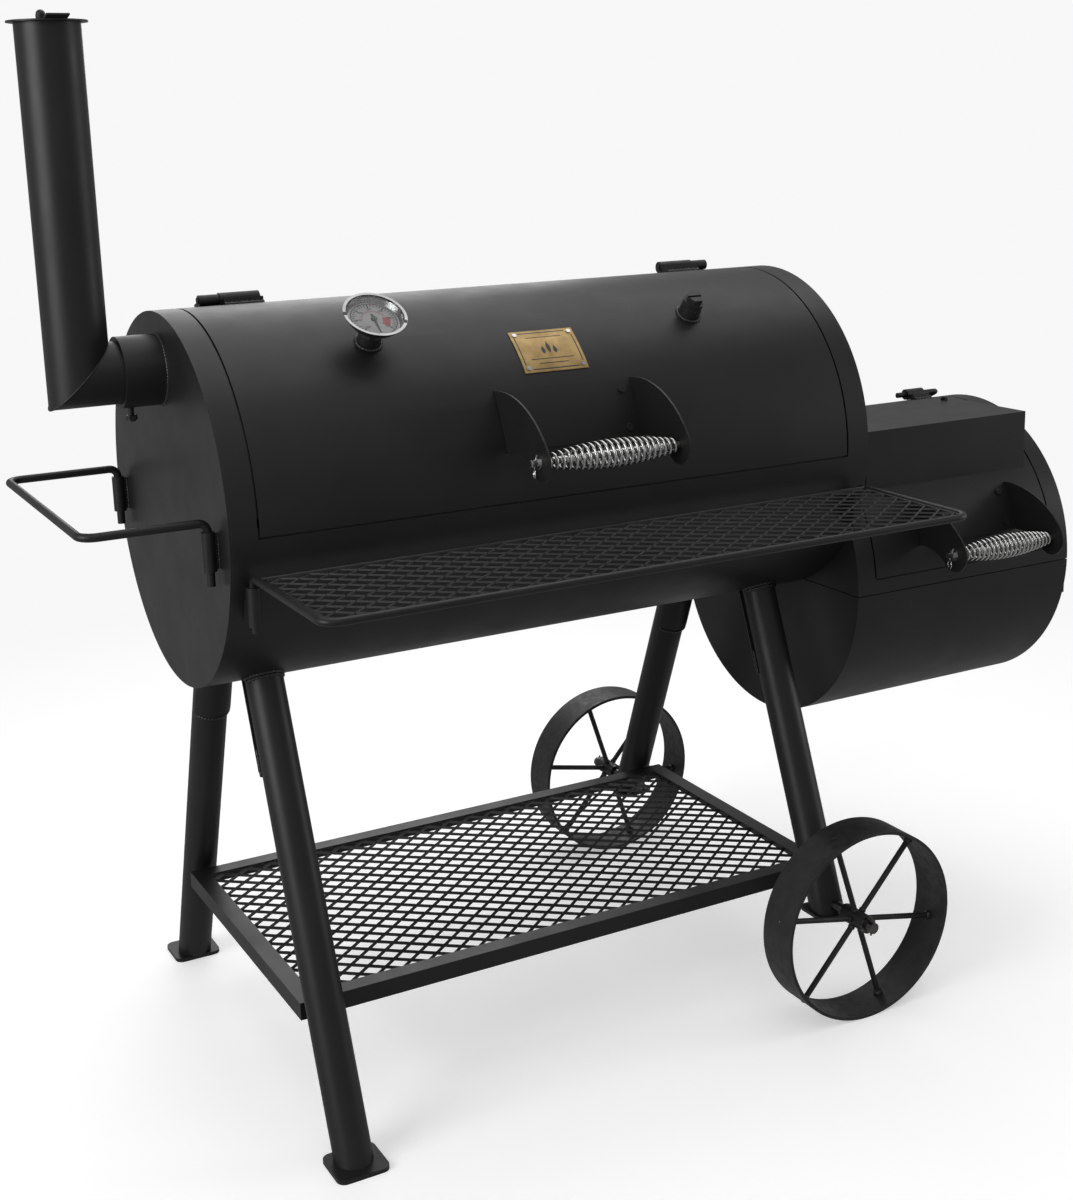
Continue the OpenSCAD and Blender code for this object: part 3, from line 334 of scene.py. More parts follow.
WELD = Finish(
    Slot.STEEL, (0.01, 0.01, 0.01), (0.02, 0.0195, 0.019), (0.3, 0.45), blotch_scale=90.0,
    grain_scale=500.0, grain_depth=0.00012, lump_scale=220.0, lump_depth=0.0003,
)
IRON = Finish(
    Slot.IRON, (0.03, 0.027, 0.024), (0.055, 0.046, 0.038), (0.6, 0.85), metallic=0.5, blotch_scale=30.0,
    grain_scale=350.0, grain_depth=0.0003, lump_scale=120.0, lump_depth=0.0004,
)
ZINC = Finish(
    Slot.ZINC, (0.62, 0.62, 0.61), (0.45, 0.45, 0.44), (0.12, 0.24), metallic=1.0, blotch_scale=60.0,
    grain_scale=900.0, grain_depth=0.00002, lump_scale=200.0, lump_depth=0.00004,
)
AXLE = Finish(
    Slot.ZINC, (0.15, 0.145, 0.14), (0.08, 0.078, 0.075), (0.2, 0.36), metallic=1.0, blotch_scale=70.0,
    grain_scale=900.0, grain_depth=0.00003, lump_scale=160.0, lump_depth=0.00008,
)
CASE = Finish(
    Slot.ZINC, (0.4, 0.4, 0.4), (0.3, 0.3, 0.3), (0.2, 0.32), metallic=1.0, blotch_scale=40.0,
    grain_scale=1400.0, grain_stretch=(1.0, 0.1, 1.0), grain_depth=0.00002,
)
BRASS = Finish(
    Slot.BRASS, (0.42, 0.29, 0.125), (0.27, 0.18, 0.075), (0.34, 0.5), metallic=0.75, blotch_scale=38.0,
    grain_scale=1600.0, grain_stretch=(0.05, 1.0, 1.0), grain_depth=0.00004, lump_scale=150.0,
    lump_depth=0.00006, worn=(0.12, 0.075, 0.03), wear_and_highlight=0.8, wear_and_highlight_radius=0.003,
)
DIAL = Finish(
    Slot.DIAL, (0.36, 0.345, 0.345), (0.29, 0.275, 0.275), (0.4, 0.5), blotch_scale=50.0, grain_scale=2500.0,
    grain_depth=0.00001,
)
RED_ZONE = Finish(Slot.DIAL, (0.33, 0.03, 0.03), (0.24, 0.02, 0.02), (0.4, 0.5), grain_depth=0.00001)
PALE_RED = Finish(Slot.DIAL, (0.34, 0.2, 0.2), (0.29, 0.16, 0.165), (0.4, 0.5), grain_depth=0.00001)
INK = Finish(Slot.NEEDLE, (0.012, 0.012, 0.012), (0.02, 0.02, 0.02), (0.35, 0.5), grain_depth=0.00001)
GLASS = Glazing()


class Paintshop:
    """Makes each finish's material once and puts it on pieces."""

    def __init__(self) -> None:
        """Starts with no materials."""
        self.made: dict[object, bpy.types.Material] = {}

    def coat(self, piece: bpy.types.Object, finish: Finish | Glazing) -> None:
        """Gives a piece one finish all over.

        Args:
            piece: The piece to paint.
            finish: Its finish.
        """
        if finish not in self.made:
            self.made[finish] = finish.material(f"{finish.slot.value}_{len(self.made)}")
        piece.data.materials.clear()
        piece.data.materials.append(self.made[finish])


PAINT = Paintshop()


class MeshPen:
    """Collects corners and faces, and turns them into one piece."""

    BLOB_RINGS, BLOB_SIDES = 6, 12
    BLOB_SWELL, BLOB_LUMPS = 0.16, 2.3
    BEAD_STEP, BEAD_SIDES = 0.45, 8
    RIPPLE, RIPPLE_RATE = 0.12, 1.35
    LUMP, LUMP_RATE = 0.18, 160.0

    def __init__(self, name: str) -> None:
        """Starts an empty piece.

        Args:
            name: The piece's name.
        """
        self.name = name
        self.corners: list[Vector] = []
        self.faces: list[tuple[int, ...]] = []

    def add(self, corners: Sequence[Vector], faces: Sequence[Sequence[int]]) -> None:
        """Adds a closed shape.

        Args:
            corners: Its corners.
            faces: Its faces, as numbers of those corners.
        """
        base = len(self.corners)
        self.corners.extend(corners)
        self.faces.extend(tuple(base + i for i in face) for face in faces)

    def tube(self, path: Sequence[Vector], radii: Sequence[float], sides: int, closed: bool = False) -> None:
        """Adds a round tube along a path.

        Args:
            path: The points that it follows.
            radii: Its radius at each point.
            sides: How many sides its section has.
            closed: Whether the last point joins the first.
        """
        count = len(path)
        normal = self._across(path[1] - path[0])
        corners: list[Vector] = []
        turns = circle(sides)
        for i, point in enumerate(path):
            before = path[i - 1] if i or closed else path[i]
            after = path[(i + 1) % count] if i < count - 1 or closed else path[i]
            along = (after - before).normalized()
            normal = (normal - along * normal.dot(along)).normalized()
            side = along.cross(normal)
            corners += [point + (normal * math.cos(t) + side * math.sin(t)) * radii[i] for t in turns]
        faces: list[tuple[int, ...]] = []
        for i in range(count if closed else count - 1):
            a, b = i * sides, ((i + 1) % count) * sides
            for k in range(sides):
                n = (k + 1) % sides
                faces.append((a + k, a + n, b + n, b + k))
        if not closed:
            faces.append(tuple(reversed(range(sides))))
            faces.append(tuple(range((count - 1) * sides, count * sides)))
        self.add(corners, faces)

    @staticmethod
    def _across(along: Vector) -> Vector:
        """A direction at right angles to another."""
        other = Vector((0, 0, 1)) if abs(along.normalized().z) < 0.9 else Vector((1, 0, 0))
        return along.cross(other).normalized()

    def bar(self, a: Vector, b: Vector, width: Vector, thick: Vector) -> None:
        """Adds a flat bar from one point to another.

        Args:
            a: The middle of one end.
            b: The middle of the other end.
            width: Half of its width, as a vector.
            thick: Half of its thickness, as a vector.
        """
        if width.cross(thick).dot(b - a) < 0:
            thick = -thick
        ring = (-width - thick, width - thick, width + thick, -width + thick)
        corners = [a + r for r in ring] + [b + r for r in ring]
        self.add(corners, [(0, 3, 2, 1), (4, 5, 6, 7), (0, 1, 5, 4), (1, 2, 6, 5), (2, 3, 7, 6), (3, 0, 4, 7)])

    def slab(self, outline: Sequence[tuple[float, float]], low: float, high: float, place: Place) -> None:
        """Adds a thin slab of a flat outline, laid by a placing function.

        Args:
            outline: The outline's points, anticlockwise.
            low: Height of its underside.
            high: Height of its top.
            place: Turns a point and a height into a place.
        """
        n = len(outline)
        corners = [place(u, v, h) for h in (low, high) for u, v in outline]
        faces: list[tuple[int, ...]] = [tuple(reversed(range(n))), tuple(range(n, 2 * n))]
        faces += [(i, (i + 1) % n, n + (i + 1) % n, n + i) for i in range(n)]
        self.add(corners, faces)

    def blob(self, centre: Vector, size: Vector, seed: float) -> None:
        """Adds a small lump of weld metal.

        Args:
            centre: Its centre.
            size: Its half sizes along X, Y and Z.
            seed: Changes its lumps.
        """
        rings, sides = self.BLOB_RINGS, self.BLOB_SIDES
        offset = Vector((seed, seed * 1.7, 0))
        corners = []
        for i in range(1, rings):
            a = math.pi * i / rings
            for t in circle(sides):
                ray = Vector((math.sin(a) * math.cos(t), math.sin(a) * math.sin(t), math.cos(a)))
                swell = 1 + self.BLOB_SWELL * noise.noise(ray * self.BLOB_LUMPS + offset)
                corners.append(centre + Vector(ray[j] * size[j] for j in range(3)) * swell)
        corners += [centre + Vector((0, 0, size.z)), centre - Vector((0, 0, size.z))]
        top, low = len(corners) - 2, len(corners) - 1
        faces: list[tuple[int, ...]] = []
        for k in range(sides):
            n = (k + 1) % sides
            faces.append((top, k, n))
            faces.append((low, (rings - 2) * sides + n, (rings - 2) * sides + k))
            for i in range(rings - 2):
                faces.append((i * sides + k, (i + 1) * sides + k, (i + 1) * sides + n, i * sides + n))
        self.add(corners, faces)

    def bead(self, path: Sequence[Vector], radius: float, closed: bool = False) -> None:
        """Adds a rippled weld bead along a path.

        Args:
            path: Widely spaced points that it follows.
            radius: Its mean radius.
            closed: Whether it closes on itself.
        """
        step = radius * self.BEAD_STEP
        dense: list[Vector] = []
        last = len(path) if closed else len(path) - 1
        for i in range(last):
            a, b = path[i], path[(i + 1) % len(path)]
            pieces = max(1, round((b - a).length / step))
            dense += [a.lerp(b, j / pieces) for j in range(pieces)]
        if not closed:
            dense.append(path[-1])
        radii = []
        for i, point in enumerate(dense):
            lump = self.LUMP * noise.noise(point * self.LUMP_RATE)
            radii.append(radius * (1 + self.RIPPLE * math.sin(i * self.RIPPLE_RATE) + lump))
        self.tube(dense, radii, self.BEAD_SIDES, closed)

    def piece(self, finish: Finish | Glazing, body: str, angle: float = 35.0) -> bpy.types.Object:
        """Makes the piece, paints it and puts it on its body.

        Args:
            finish: The finish it is painted with.
            body: The body it rides on.
            angle: Edges sharper than this many degrees stay sharp.

        Returns:
            The piece.
        """
        mesh = bpy.data.meshes.new(self.name)
        mesh.from_pydata([tuple(c) for c in self.corners], [], self.faces)
        mesh.validate()
        mesh.shade_smooth()
        mesh.set_sharp_from_angle(angle=math.radians(angle))
        item = placed(self.name, mesh)
        PAINT.coat(item, finish)
        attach(item, body)
        return item


@dataclass(frozen=True)
class Span:
    """The box of a CAD node at rest."""

    low: Vector
    high: Vector

    @classmethod
    def of(cls, node: str) -> "Span":
        """The span of one CAD node."""
        low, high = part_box(node)
        return cls(Vector(low), Vector(high))

    @property
    def mid(self) -> Vector:
        """The middle of the box."""
        return (self.low + self.high) / 2

    @property
    def size(self) -> Vector:
        """The box's sizes."""
        return self.high - self.low


@dataclass(frozen=True)
class Drum:
    """A horizontal drum: its axis, radius and ends."""

    y: float
    z: float
    radius: float
    x0: float
    x1: float

    def skin(self, x: float, angle: float, lift: float = 0.0) -> Vector:
        """A point on the drum's surface.

        Args:
            x: Its place along the drum.
            angle: Degrees above the front horizontal.
            lift: Height above the surface.

        Returns:
            The point.
        """
        r = self.radius + lift
        a = math.radians(angle)
        return Vector((x, self.y - r * math.cos(a), self.z + r * math.sin(a)))


@dataclass
class CarriedSteel:
    """The CAD nodes that show as they are, each with its finish and softened edges."""

    soften: float = 0.7 * MM
    soften_above: float = 40.0
    finishes: dict[Finish | Glazing, tuple[str, ...]] = field(default_factory=lambda: {
        STEEL: (
            "lid_rests", "grate_rails", "chimney_screw", "cap_pivot", "shell_hinge_barrels", "hinge_pins",
            "lid_hinge_barrels", "lid_handle_screws", "lid_bungs", "port_plug", "frame_bolts", "seam_lugs",
            "firebox_hinge_barrels", "firebox_handle_screws", "air_damper", "box_bolt",
        ),
        RIM: ("wheel_front", "wheel_rear"),
        IRON: ("cooking_grate_left", "cooking_grate_right", "charcoal_grate"),
        ZINC: ("lid_handle_rod", "name_plate_rivets", "firebox_handle_rod", "damper_bolt"),
        AXLE: ("stub_axles", "axle_keepers"),
        CASE: ("thermometer_case",),
        BRASS: ("name_plate",),
        DIAL: ("thermometer_dial",),
        INK: ("thermometer_needle",),
        GLASS: ("thermometer_glass",),
    })
    softened: tuple[str, ...] = (
        "warming_box", "leg_plates", "lid_handle", "firebox_handle", "bottom_shelf_frame", "wheel_front",
        "wheel_rear", "chimney_collar", "chimney_cap", "chimney_pipe", "air_damper", "seam_lugs",
        "chamber_end_left", "chamber_end_right", "shell_hinge_barrels", "lid_hinge_barrels",
        "firebox_hinge_barrels", "rod_sockets",
    )

    def dress(self, nodes: dict[str, bpy.types.Object]) -> None:
        """Paints every carried node; those without a finish of their own are enamelled.

        Args:
            nodes: The frame's CAD nodes.
        """
        special = {name for names in self.finishes.values() for name in names}
        enamelled = tuple(name for name in nodes if name not in special)
        for finish, names in {ENAMEL: enamelled, **self.finishes}.items():
            for name in names:
                PAINT.coat(nodes[name], finish)
        for name in self.softened:
            bevel = nodes[name].modifiers.new("soft_edge", "BEVEL")
            bevel.width = self.soften
            bevel.segments = 2
            bevel.limit_method = "ANGLE"
            bevel.angle_limit = math.radians(self.soften_above)
            bevel.harden_normals = False


@dataclass
class CoiledGrip:
    """A grip wound from spring wire around its rod."""

    node: str
    body: str
    turns: int = 22
    wire: float = 2.0 * MM
    wire_sides: int = 10
    steps_a_turn: int = 26
    end_radius: float = 7.3 * MM
    fullness: float = 0.9

    def build(self) -> None:
        """Winds the coil and lets it stand for its CAD sleeve."""
        span = Span.of(self.node)
        mid, half = span.mid, span.size.x / 2 - self.wire
        bulge = span.size.z / 2 - self.wire - self.end_radius
        steps = self.turns * self.steps_a_turn
        path, radii = [], []
        for i in range(steps + 1):
            t = i / steps
            turn = TAU * self.turns * t
            radius = self.end_radius + bulge * math.sin(math.pi * t) ** self.fullness
            path.append(mid + Vector((-half + 2 * half * t, radius * math.cos(turn), radius * math.sin(turn))))
            radii.append(self.wire)
        pen = MeshPen(self.node + "_coil")
        pen.tube(path, radii, self.wire_sides)
        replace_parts(pen.piece(ZINC, self.body, 60), self.node)


@dataclass
class ExpandedSheet:
    """A sheet of expanded metal: slanting strands around diamond openings."""

    node: str
    body: str
    cell_x: float = 38 * MM
    cell_y: float = 29 * MM
    rim: float = 2 * MM
    width: float = 2.1 * MM
    thick: float = 0.9 * MM
    tilt: float = 32.0
    overrun: float = 0.7

    def build(self) -> None:
        """Lays the strands and the rim, and lets them stand for the flat CAD sheet."""
        span = Span.of(self.node)
        low, high = span.low, span.high
        inner = Vector((span.size.x - 2 * self.rim, span.size.y - 2 * self.rim, 0))
        columns, rows = int(inner.x / self.cell_x), int(inner.y / self.cell_y)
        step = Vector((inner.x / columns / 2, inner.y / rows / 2, 0))
        level = (low.z + high.z) / 2
        pen = MeshPen(self.node + "_strands")
        for k in range(2 * columns):
            for row in range(2 * rows + 1):
                if k % 2 == row % 2:
                    continue
                a = Vector((low.x + self.rim + k * step.x, low.y + self.rim + row * step.y, level))
                for way in (-1, 1):
                    if 0 <= row + way <= 2 * rows:
                        self._strand(pen, a, a + Vector((step.x, way * step.y, 0)))
        rise = Vector((0, 0, self.thick))
        for y in (low.y + self.rim, high.y - self.rim):
            pen.bar(Vector((low.x, y, level)), Vector((high.x, y, level)), Vector((0, self.rim, 0)), rise)
        for x in (low.x + self.rim, high.x - self.rim):
            pen.bar(Vector((x, low.y, level)), Vector((x, high.y, level)), Vector((self.rim, 0, 0)), rise)
        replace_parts(pen.piece(STEEL, self.body, 30), self.node)

    def _strand(self, pen: MeshPen, a: Vector, b: Vector) -> None:
        """Adds one strand, tipped about its own length.

        Args:
            pen: Collects the sheet.
            a: Where it starts.
            b: Where it ends.
        """
        along = (b - a).normalized()
        flat = Vector((0, 0, 1)).cross(along)
        if flat.y < 0:
            flat = -flat
        tip = math.radians(self.tilt)
        wide = flat * math.cos(tip) + Vector((0, 0, math.sin(tip)))
        deep = wide.cross(along)
        extra = along * self.width * self.overrun
        pen.bar(a - extra, b + extra, wide * self.width, deep * self.thick)


@dataclass
class Thermometer:
    """The printing on the thermometer's dial and the clips on its rim."""

    body: str = "main_lid"
    tilt: float = 55.0
    print_lift: float = 0.2 * MM
    face: float = 0.5 * MM
    track: float = 29.0 * MM
    sweep: float = 270.0
    tick_steps: int = 30
    long_every: int = 5
    long_tick: tuple[float, float] = (6.5 * MM, 0.9 * MM)
    short_tick: tuple[float, float] = (4.0 * MM, 0.5 * MM)
    border: tuple[float, float] = (29.9 * MM, 31.2 * MM)
    warm_band: tuple[float, float] = (14.5 * MM, 17.5 * MM)
    warm_turn: tuple[float, float] = (12.0, 168.0)
    hot_band: tuple[float, float] = (12.0 * MM, 22.0 * MM)
    hot_turn: tuple[float, float] = (-45.0, 8.0)
    ring_step: float = 6.0
    numbers: tuple[int, ...] = (100, 150, 200, 250, 300, 350, 400)
    number_size: float = 5.2 * MM
    number_inset: float = 9.0 * MM
    clip_turns: tuple[float, float] = (172.0, -28.0)
    clip_reach: tuple[float, float] = (4.4 * MM, 0.3 * MM)
    clip_half: float = 2.2 * MM
    clip_heights: tuple[float, float] = (9.2 * MM, 11.1 * MM)

    @property
    def matrix(self) -> Matrix:
        """The place of the dial's centre, with X to the right and Y up the dial."""
        centre = Span.of("thermometer_dial").mid
        return Matrix.Translation(centre) @ Matrix.Rotation(math.radians(90 - self.tilt), 4, "X")

    def place(self, x: float, y: float, h: float) -> Vector:
        """A point on the dial, with X to the right, Y up the dial and a height above its middle."""
        return self.matrix @ Vector((x, y, h))

    def build(self) -> None:
        """Prints the rings, ticks, zones and numbers, and clips the rim."""
        ink = MeshPen("dial_ticks")
        for i in range(self.tick_steps + 1):
            length, half = self.short_tick if i % self.long_every else self.long_tick
            self._ray(ink, self._turn(i / self.tick_steps), (self.track - length, self.track), half)
        self._ring(ink, self.border, (0.0, 360.0))
        ink.piece(INK, self.body)
        warm = MeshPen("dial_warm_zone")
        self._ring(warm, self.warm_band, self.warm_turn)
        warm.piece(PALE_RED, self.body)
        hot = MeshPen("dial_hot_zone")
        self._ring(hot, self.hot_band, self.hot_turn)
        hot.piece(RED_ZONE, self.body)
        for i, number in enumerate(self.numbers):
            self._number(str(number), self._turn(i / (len(self.numbers) - 1)))
        self._clips()

    def _turn(self, share: float) -> float:
        """The angle of a place along the scale, in radians."""
        return math.radians(90 + self.sweep / 2 - self.sweep * share)

    @staticmethod
    def _turned(turn: float, reach: tuple[float, float], half: float) -> list[tuple[float, float]]:
        """The outline of a bar along a ray of the dial.

        Args:
            turn: The ray's angle, in radians.
            reach: The radii where the bar starts and ends.
            half: Half of its width.

        Returns:
            Its four corners, anticlockwise.
        """
        c, s = math.cos(turn), math.sin(turn)
        start, stop = reach
        corners = ((start, -half), (stop, -half), (stop, half), (start, half))
        return [(r * c - w * s, r * s + w * c) for r, w in corners]

    def _ray(self, pen: MeshPen, turn: float, reach: tuple[float, float], half: float) -> None:
        """Adds one tick.

        Args:
            pen: Collects the printing.
            turn: Its angle.
            reach: The radii where it starts and ends.
            half: Half of its width.
        """
        outline = self._turned(turn, reach, half)
        pen.slab(outline, self.face - self.print_lift, self.face + self.print_lift, self.place)

    def _ring(self, pen: MeshPen, band: tuple[float, float], turn: tuple[float, float]) -> None:
        """Adds a flat ring or part of one.

        Args:
            pen: Collects the printing.
            band: Its inner and outer radius.
            turn: The angles where it starts and stops, in degrees.
        """
        (r0, r1), (start, stop) = band, turn
        steps = max(8, int(abs(stop - start) / self.ring_step))
        for i in range(steps):
            a, b = (math.radians(start + (stop - start) * (i + j) / steps) for j in (0, 1))
            outline = [(r * math.cos(t), r * math.sin(t)) for r, t in ((r0, a), (r1, a), (r1, b), (r0, b))]
            pen.slab(outline, self.face - self.print_lift, self.face + self.print_lift * 0.8, self.place)

    def _number(self, text: str, turn: float) -> None:
        """Prints one number inside the ticks.

        Args:
            text: The number.
            turn: Its angle on the dial.
        """
        name = "dial_number_" + text
        curve = bpy.data.curves.new(name, "FONT")
        curve.body = text
        curve.size = self.number_size
        curve.extrude = self.print_lift
        curve.align_x = "CENTER"
        curve.align_y = "CENTER"
        item = placed(name, curve)
        r = self.track - self.number_inset
        item.matrix_world = self.matrix @ Matrix.Translation((r * math.cos(turn), r * math.sin(turn), self.face))
        PAINT.coat(item, INK)
        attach(item, self.body)

    def _clips(self) -> None:
        """Folds two small clips over the rim."""
        rim = Span.of("thermometer_case").size.x / 2
        inner, outer = self.clip_reach
        pen = MeshPen("dial_rim_clips")
        for degrees in self.clip_turns:
            outline = self._turned(math.radians(degrees), (rim - inner, rim - outer), self.clip_half)
            pen.slab(outline, *self.clip_heights, self.place)
        pen.piece(INK, self.body)


@dataclass
class NamePlate:
    """The border, flame and ruled lines pressed into the brass plate."""

    drum: Drum
    body: str = "main_lid"
    edge: float = 5 * MM
    line: float = 0.8 * MM
    corner: float = 8 * MM
    thick: float = 1.2 * MM
    depth: tuple[float, float] = (-0.1 * MM, 0.12 * MM)
    flame_depth: tuple[float, float] = (-0.1 * MM, 0.14 * MM)
    lines: tuple[Rgb, ...] = ((-0.42, 0.74, 0.8), (-0.62, 0.5, 0.8), (0.62, 0.62, 0.7))
    tongues: tuple[tuple[float, float], ...] = ((-9.0, 15.0), (0.0, 23.0), (9.0, 15.0))
    flame_stops: tuple[float, ...] = (0.1, 0.25, 0.4, 0.6, 0.8, 1.0)
    flame_foot: float = 8.0
    flame_half: float = 4.2
    flame_taper: float = 0.55
    flame_curve: float = 1.3

    def build(self) -> None:
        """Presses the plate's pattern."""
        span = Span.of("name_plate")
        self.mid_x = span.mid.x
        self.mid_angle = math.degrees(math.atan2(span.mid.z - self.drum.z, self.drum.y - span.mid.y))
        self.half_u = span.size.x / 2
        self.half_v = math.hypot(span.size.y, span.size.z) / 2
        pen = MeshPen("name_plate_pattern")
        u, v = self.half_u - self.edge, self.half_v - self.edge
        for s in (-1, 1):
            self._strip(pen, -u + self.corner, u - self.corner, s * v, self.line)
            self._strip(pen, s * u - self.line, s * u + self.line, 0, v - self.corner)
        for row, share, weight in self.lines:
            self._strip(pen, -u * share, u * share, self.half_v * row, self.line * weight)
        self._flame(pen)
        pen.piece(INK, self.body)

    def place(self, u: float, v: float, h: float) -> Vector:
        """A point on the plate: along it, up it and above its face."""
        lift = self.thick + h
        angle = self.mid_angle + math.degrees(v / (self.drum.radius + lift))
        return self.drum.skin(self.mid_x + u, angle, lift)

    def _strip(self, pen: MeshPen, u0: float, u1: float, v: float, half: float) -> None:
        """Adds a straight line between two places along the plate.

        Args:
            pen: Collects the pattern.
            u0: Where it starts along the plate.
            u1: Where it ends.
            v: Its height up the plate.
            half: Half of its width.
        """
        rows = max(1, int(half / MM))
        for i in range(rows):
            v0, v1 = v - half + 2 * half * i / rows, v - half + 2 * half * (i + 1) / rows
            pen.slab([(u0, v0), (u1, v0), (u1, v1), (u0, v1)], *self.depth, self.place)

    def _flame(self, pen: MeshPen) -> None:
        """Adds three plain tongues of flame."""
        right = []
        for t in self.flame_stops:
            swell = math.sin(math.pi * t) ** self.flame_curve
            right.append((swell * self.flame_half * (1 - self.flame_taper * t), t))
        for shift, tall in self.tongues:
            outline = [(shift + w, tall * t - self.flame_foot) for w, t in right]
            outline += [(shift - w, tall * t - self.flame_foot) for w, t in right[-2::-1]]
            pen.slab([(a * MM, b * MM) for a, b in outline], *self.flame_depth, self.place)


@dataclass
class Welds:
    """The weld beads that hold the smoker's steel together."""

    chamber: Drum
    firebox: Drum
    leg_bead: float = 3.4 * MM
    lean: float = 21.55
    sleeve_half_angle: float = 62.0
    port_angle: float = 55.0
    port_radius: float = 17.0 * MM
    thin_bead: float = 1.9 * MM
    mitre_bead: float = 0.9 * MM
    lower_run: float = 4.5 * MM
    bite: float = 0.5 * MM
    sleeve_foot: float = 7 * MM
    sleeve_rise: float = 34 * MM
    sleeve_lift: float = 1.5 * MM
    port_lift: float = 1.2 * MM
    web_inset: float = 6 * MM
    web_half: float = 5 * MM
    web_drop: tuple[float, float] = (4 * MM, 43 * MM)
    hinge_angle: float = 97.6
    hinge_lift: float = 0.6 * MM
    chamber_barrel: float = 56 * MM
    firebox_barrel: float = 35 * MM
    smooth: float = 60.0

    def build(self) -> None:
        """Lays every weld."""
        base = MeshPen("frame_welds")
        self._legs(base)
        self._chimney(base)
        self._sockets(base)
        base.piece(WELD, "base", self.smooth)
        lugs = (
            ("main_lid", self.chamber, "lid_hinge_barrels", self.chamber_barrel),
            ("firebox_lid", self.firebox, "firebox_hinge_barrels", self.firebox_barrel),
        )
        for body, drum, node, length in lugs:
            pen = MeshPen(node + "_welds")
            self._lugs(pen, drum, node, length)
            pen.piece(WELD, body, self.smooth)
        ports = MeshPen("port_welds")
        for node in ("thermometer_case", "port_plug"):
            self._port(ports, Span.of(node).mid.x)
        ports.piece(WELD, "main_lid", self.smooth)

    def _legs(self, pen: MeshPen) -> None:
        """Rings each leg where it meets the chamber."""
        for node in ("foot_legs", "wheel_legs"):
            span = Span.of(node)
            radius = span.size.x / 2
            lean = math.radians(self.lean)
            spread = span.size.y / 2 - radius / math.cos(lean)
            for side in (-1, 1):
                foot = Vector((span.mid.x, self.chamber.y + side * spread, span.low.z))
                axis = Vector((0, -side * math.sin(lean), math.cos(lean)))
                outward = Vector((0, side * math.cos(lean), math.sin(lean)))
                ring = []
                for i in range(33):
                    turn = math.pi * (1.06 * i / 32 - 0.03)
                    across = Vector((math.cos(turn), 0, 0)) + outward * math.sin(turn)
                    ring.append(self._meet(foot + across * (radius - self.bite), axis))
                pen.bead(ring, self.leg_bead)
                pen.bead([point - axis * self.lower_run for point in ring[3:-3]], self.leg_bead * 0.8)
                self._sleeve(pen, foot, axis, outward, radius)

    def _sleeve(self, pen: MeshPen, foot: Vector, axis: Vector, outward: Vector, radius: float) -> None:
        """Welds a leg's sleeve along its lower end and the foot of each side.

        Args:
            pen: Collects the welds.
            foot: The middle of the leg's lower end.
            axis: The direction up the leg.
            outward: The direction away from the smoker's middle, across the leg.
            radius: The leg's radius.
        """
        low = (Span.of("leg_sockets").low.z + self.sleeve_foot - foot.z) / axis.z
        half = math.radians(self.sleeve_half_angle)
        path = []
        for i in range(13):
            turn = half * (i / 6 - 1)
            across = Vector((math.sin(turn), 0, 0)) - outward * math.cos(turn)
            path.append(foot + axis * low + across * (radius + self.sleeve_lift))
        rise = axis * self.sleeve_rise
        pen.bead([path[0] + rise, *path, path[-1] + rise], self.thin_bead * 1.25)

    def _port(self, pen: MeshPen, x: float) -> None:
        """Rings the foot of a port on the lid.

        Args:
            pen: Collects the welds.
            x: The port's place along the lid.
        """
        ring = []
        for turn in circle(40):
            angle = self.port_angle + math.degrees(self.port_radius * math.sin(turn) / self.chamber.radius)
            ring.append(self.chamber.skin(x + self.port_radius * math.cos(turn), angle, self.port_lift))
        pen.bead(ring, self.thin_bead * 1.2, True)

    def _meet(self, start: Vector, axis: Vector) -> Vector:
        """Where a line up a leg reaches the chamber's skin.

        Args:
            start: A point on the line.
            axis: Its direction.

        Returns:
            The lower meeting point.
        """
        y, z = start.y - self.chamber.y, start.z - self.chamber.z
        a = axis.y**2 + axis.z**2
        b = 2 * (y * axis.y + z * axis.z)
        c = y * y + z * z - self.chamber.radius**2
        root = math.sqrt(max(0.0, b * b - 4 * a * c))
        return start + axis * ((-b - root) / (2 * a))

    def _chimney(self, pen: MeshPen) -> None:
        """Rings the collar at the end plate and the pipe at its mitre."""
        collar = Span.of("chimney_collar")
        radius = collar.size.z / 2
        mid = Vector((collar.high.x, collar.mid.y, collar.mid.z))
        pen.bead([mid + Vector((0, math.cos(t), math.sin(t))) * radius for t in circle(48)], self.thin_bead, True)
        pipe = Span.of("chimney_pipe")
        bend = Vector((pipe.mid.x, pipe.mid.y, collar.mid.z))
        slant = [Vector((math.cos(t), math.sin(t), math.cos(t))) for t in circle(60)]
        pen.bead([bend + ray * (pipe.size.x / 2) for ray in slant], self.mitre_bead, True)

    def _sockets(self, pen: MeshPen) -> None:
        """Welds the webs of the rod sockets to the end plate and the shell."""
        plate = Span.of("chamber_end_left").low.x
        sockets = Span.of("rod_sockets")
        span = Span.of("side_handle")
        top = sockets.high.z - self.web_drop[0]
        for y in (span.low.y + self.web_inset, span.high.y - self.web_inset):
            for side in (-1, 1):
                head = Vector((plate - self.bite, y + side * self.web_half, top))
                pen.bead([head - Vector((0, 0, self.web_drop[1] * i / 4)) for i in range(5)], self.thin_bead)

    def _lugs(self, pen: MeshPen, drum: Drum, node: str, length: float) -> None:
        """Welds a lid's hinge barrels along their front edges.

        Args:
            pen: Collects the welds.
            drum: The drum that the lid closes.
            node: The barrels' CAD node.
            length: The length of each weld.
        """
        span = Span.of(node)
        for x0 in (span.low.x, span.high.x - length):
            run = [drum.skin(x0 + length * i / 5, self.hinge_angle, self.hinge_lift) for i in range(6)]
            pen.bead(run, self.leg_bead)


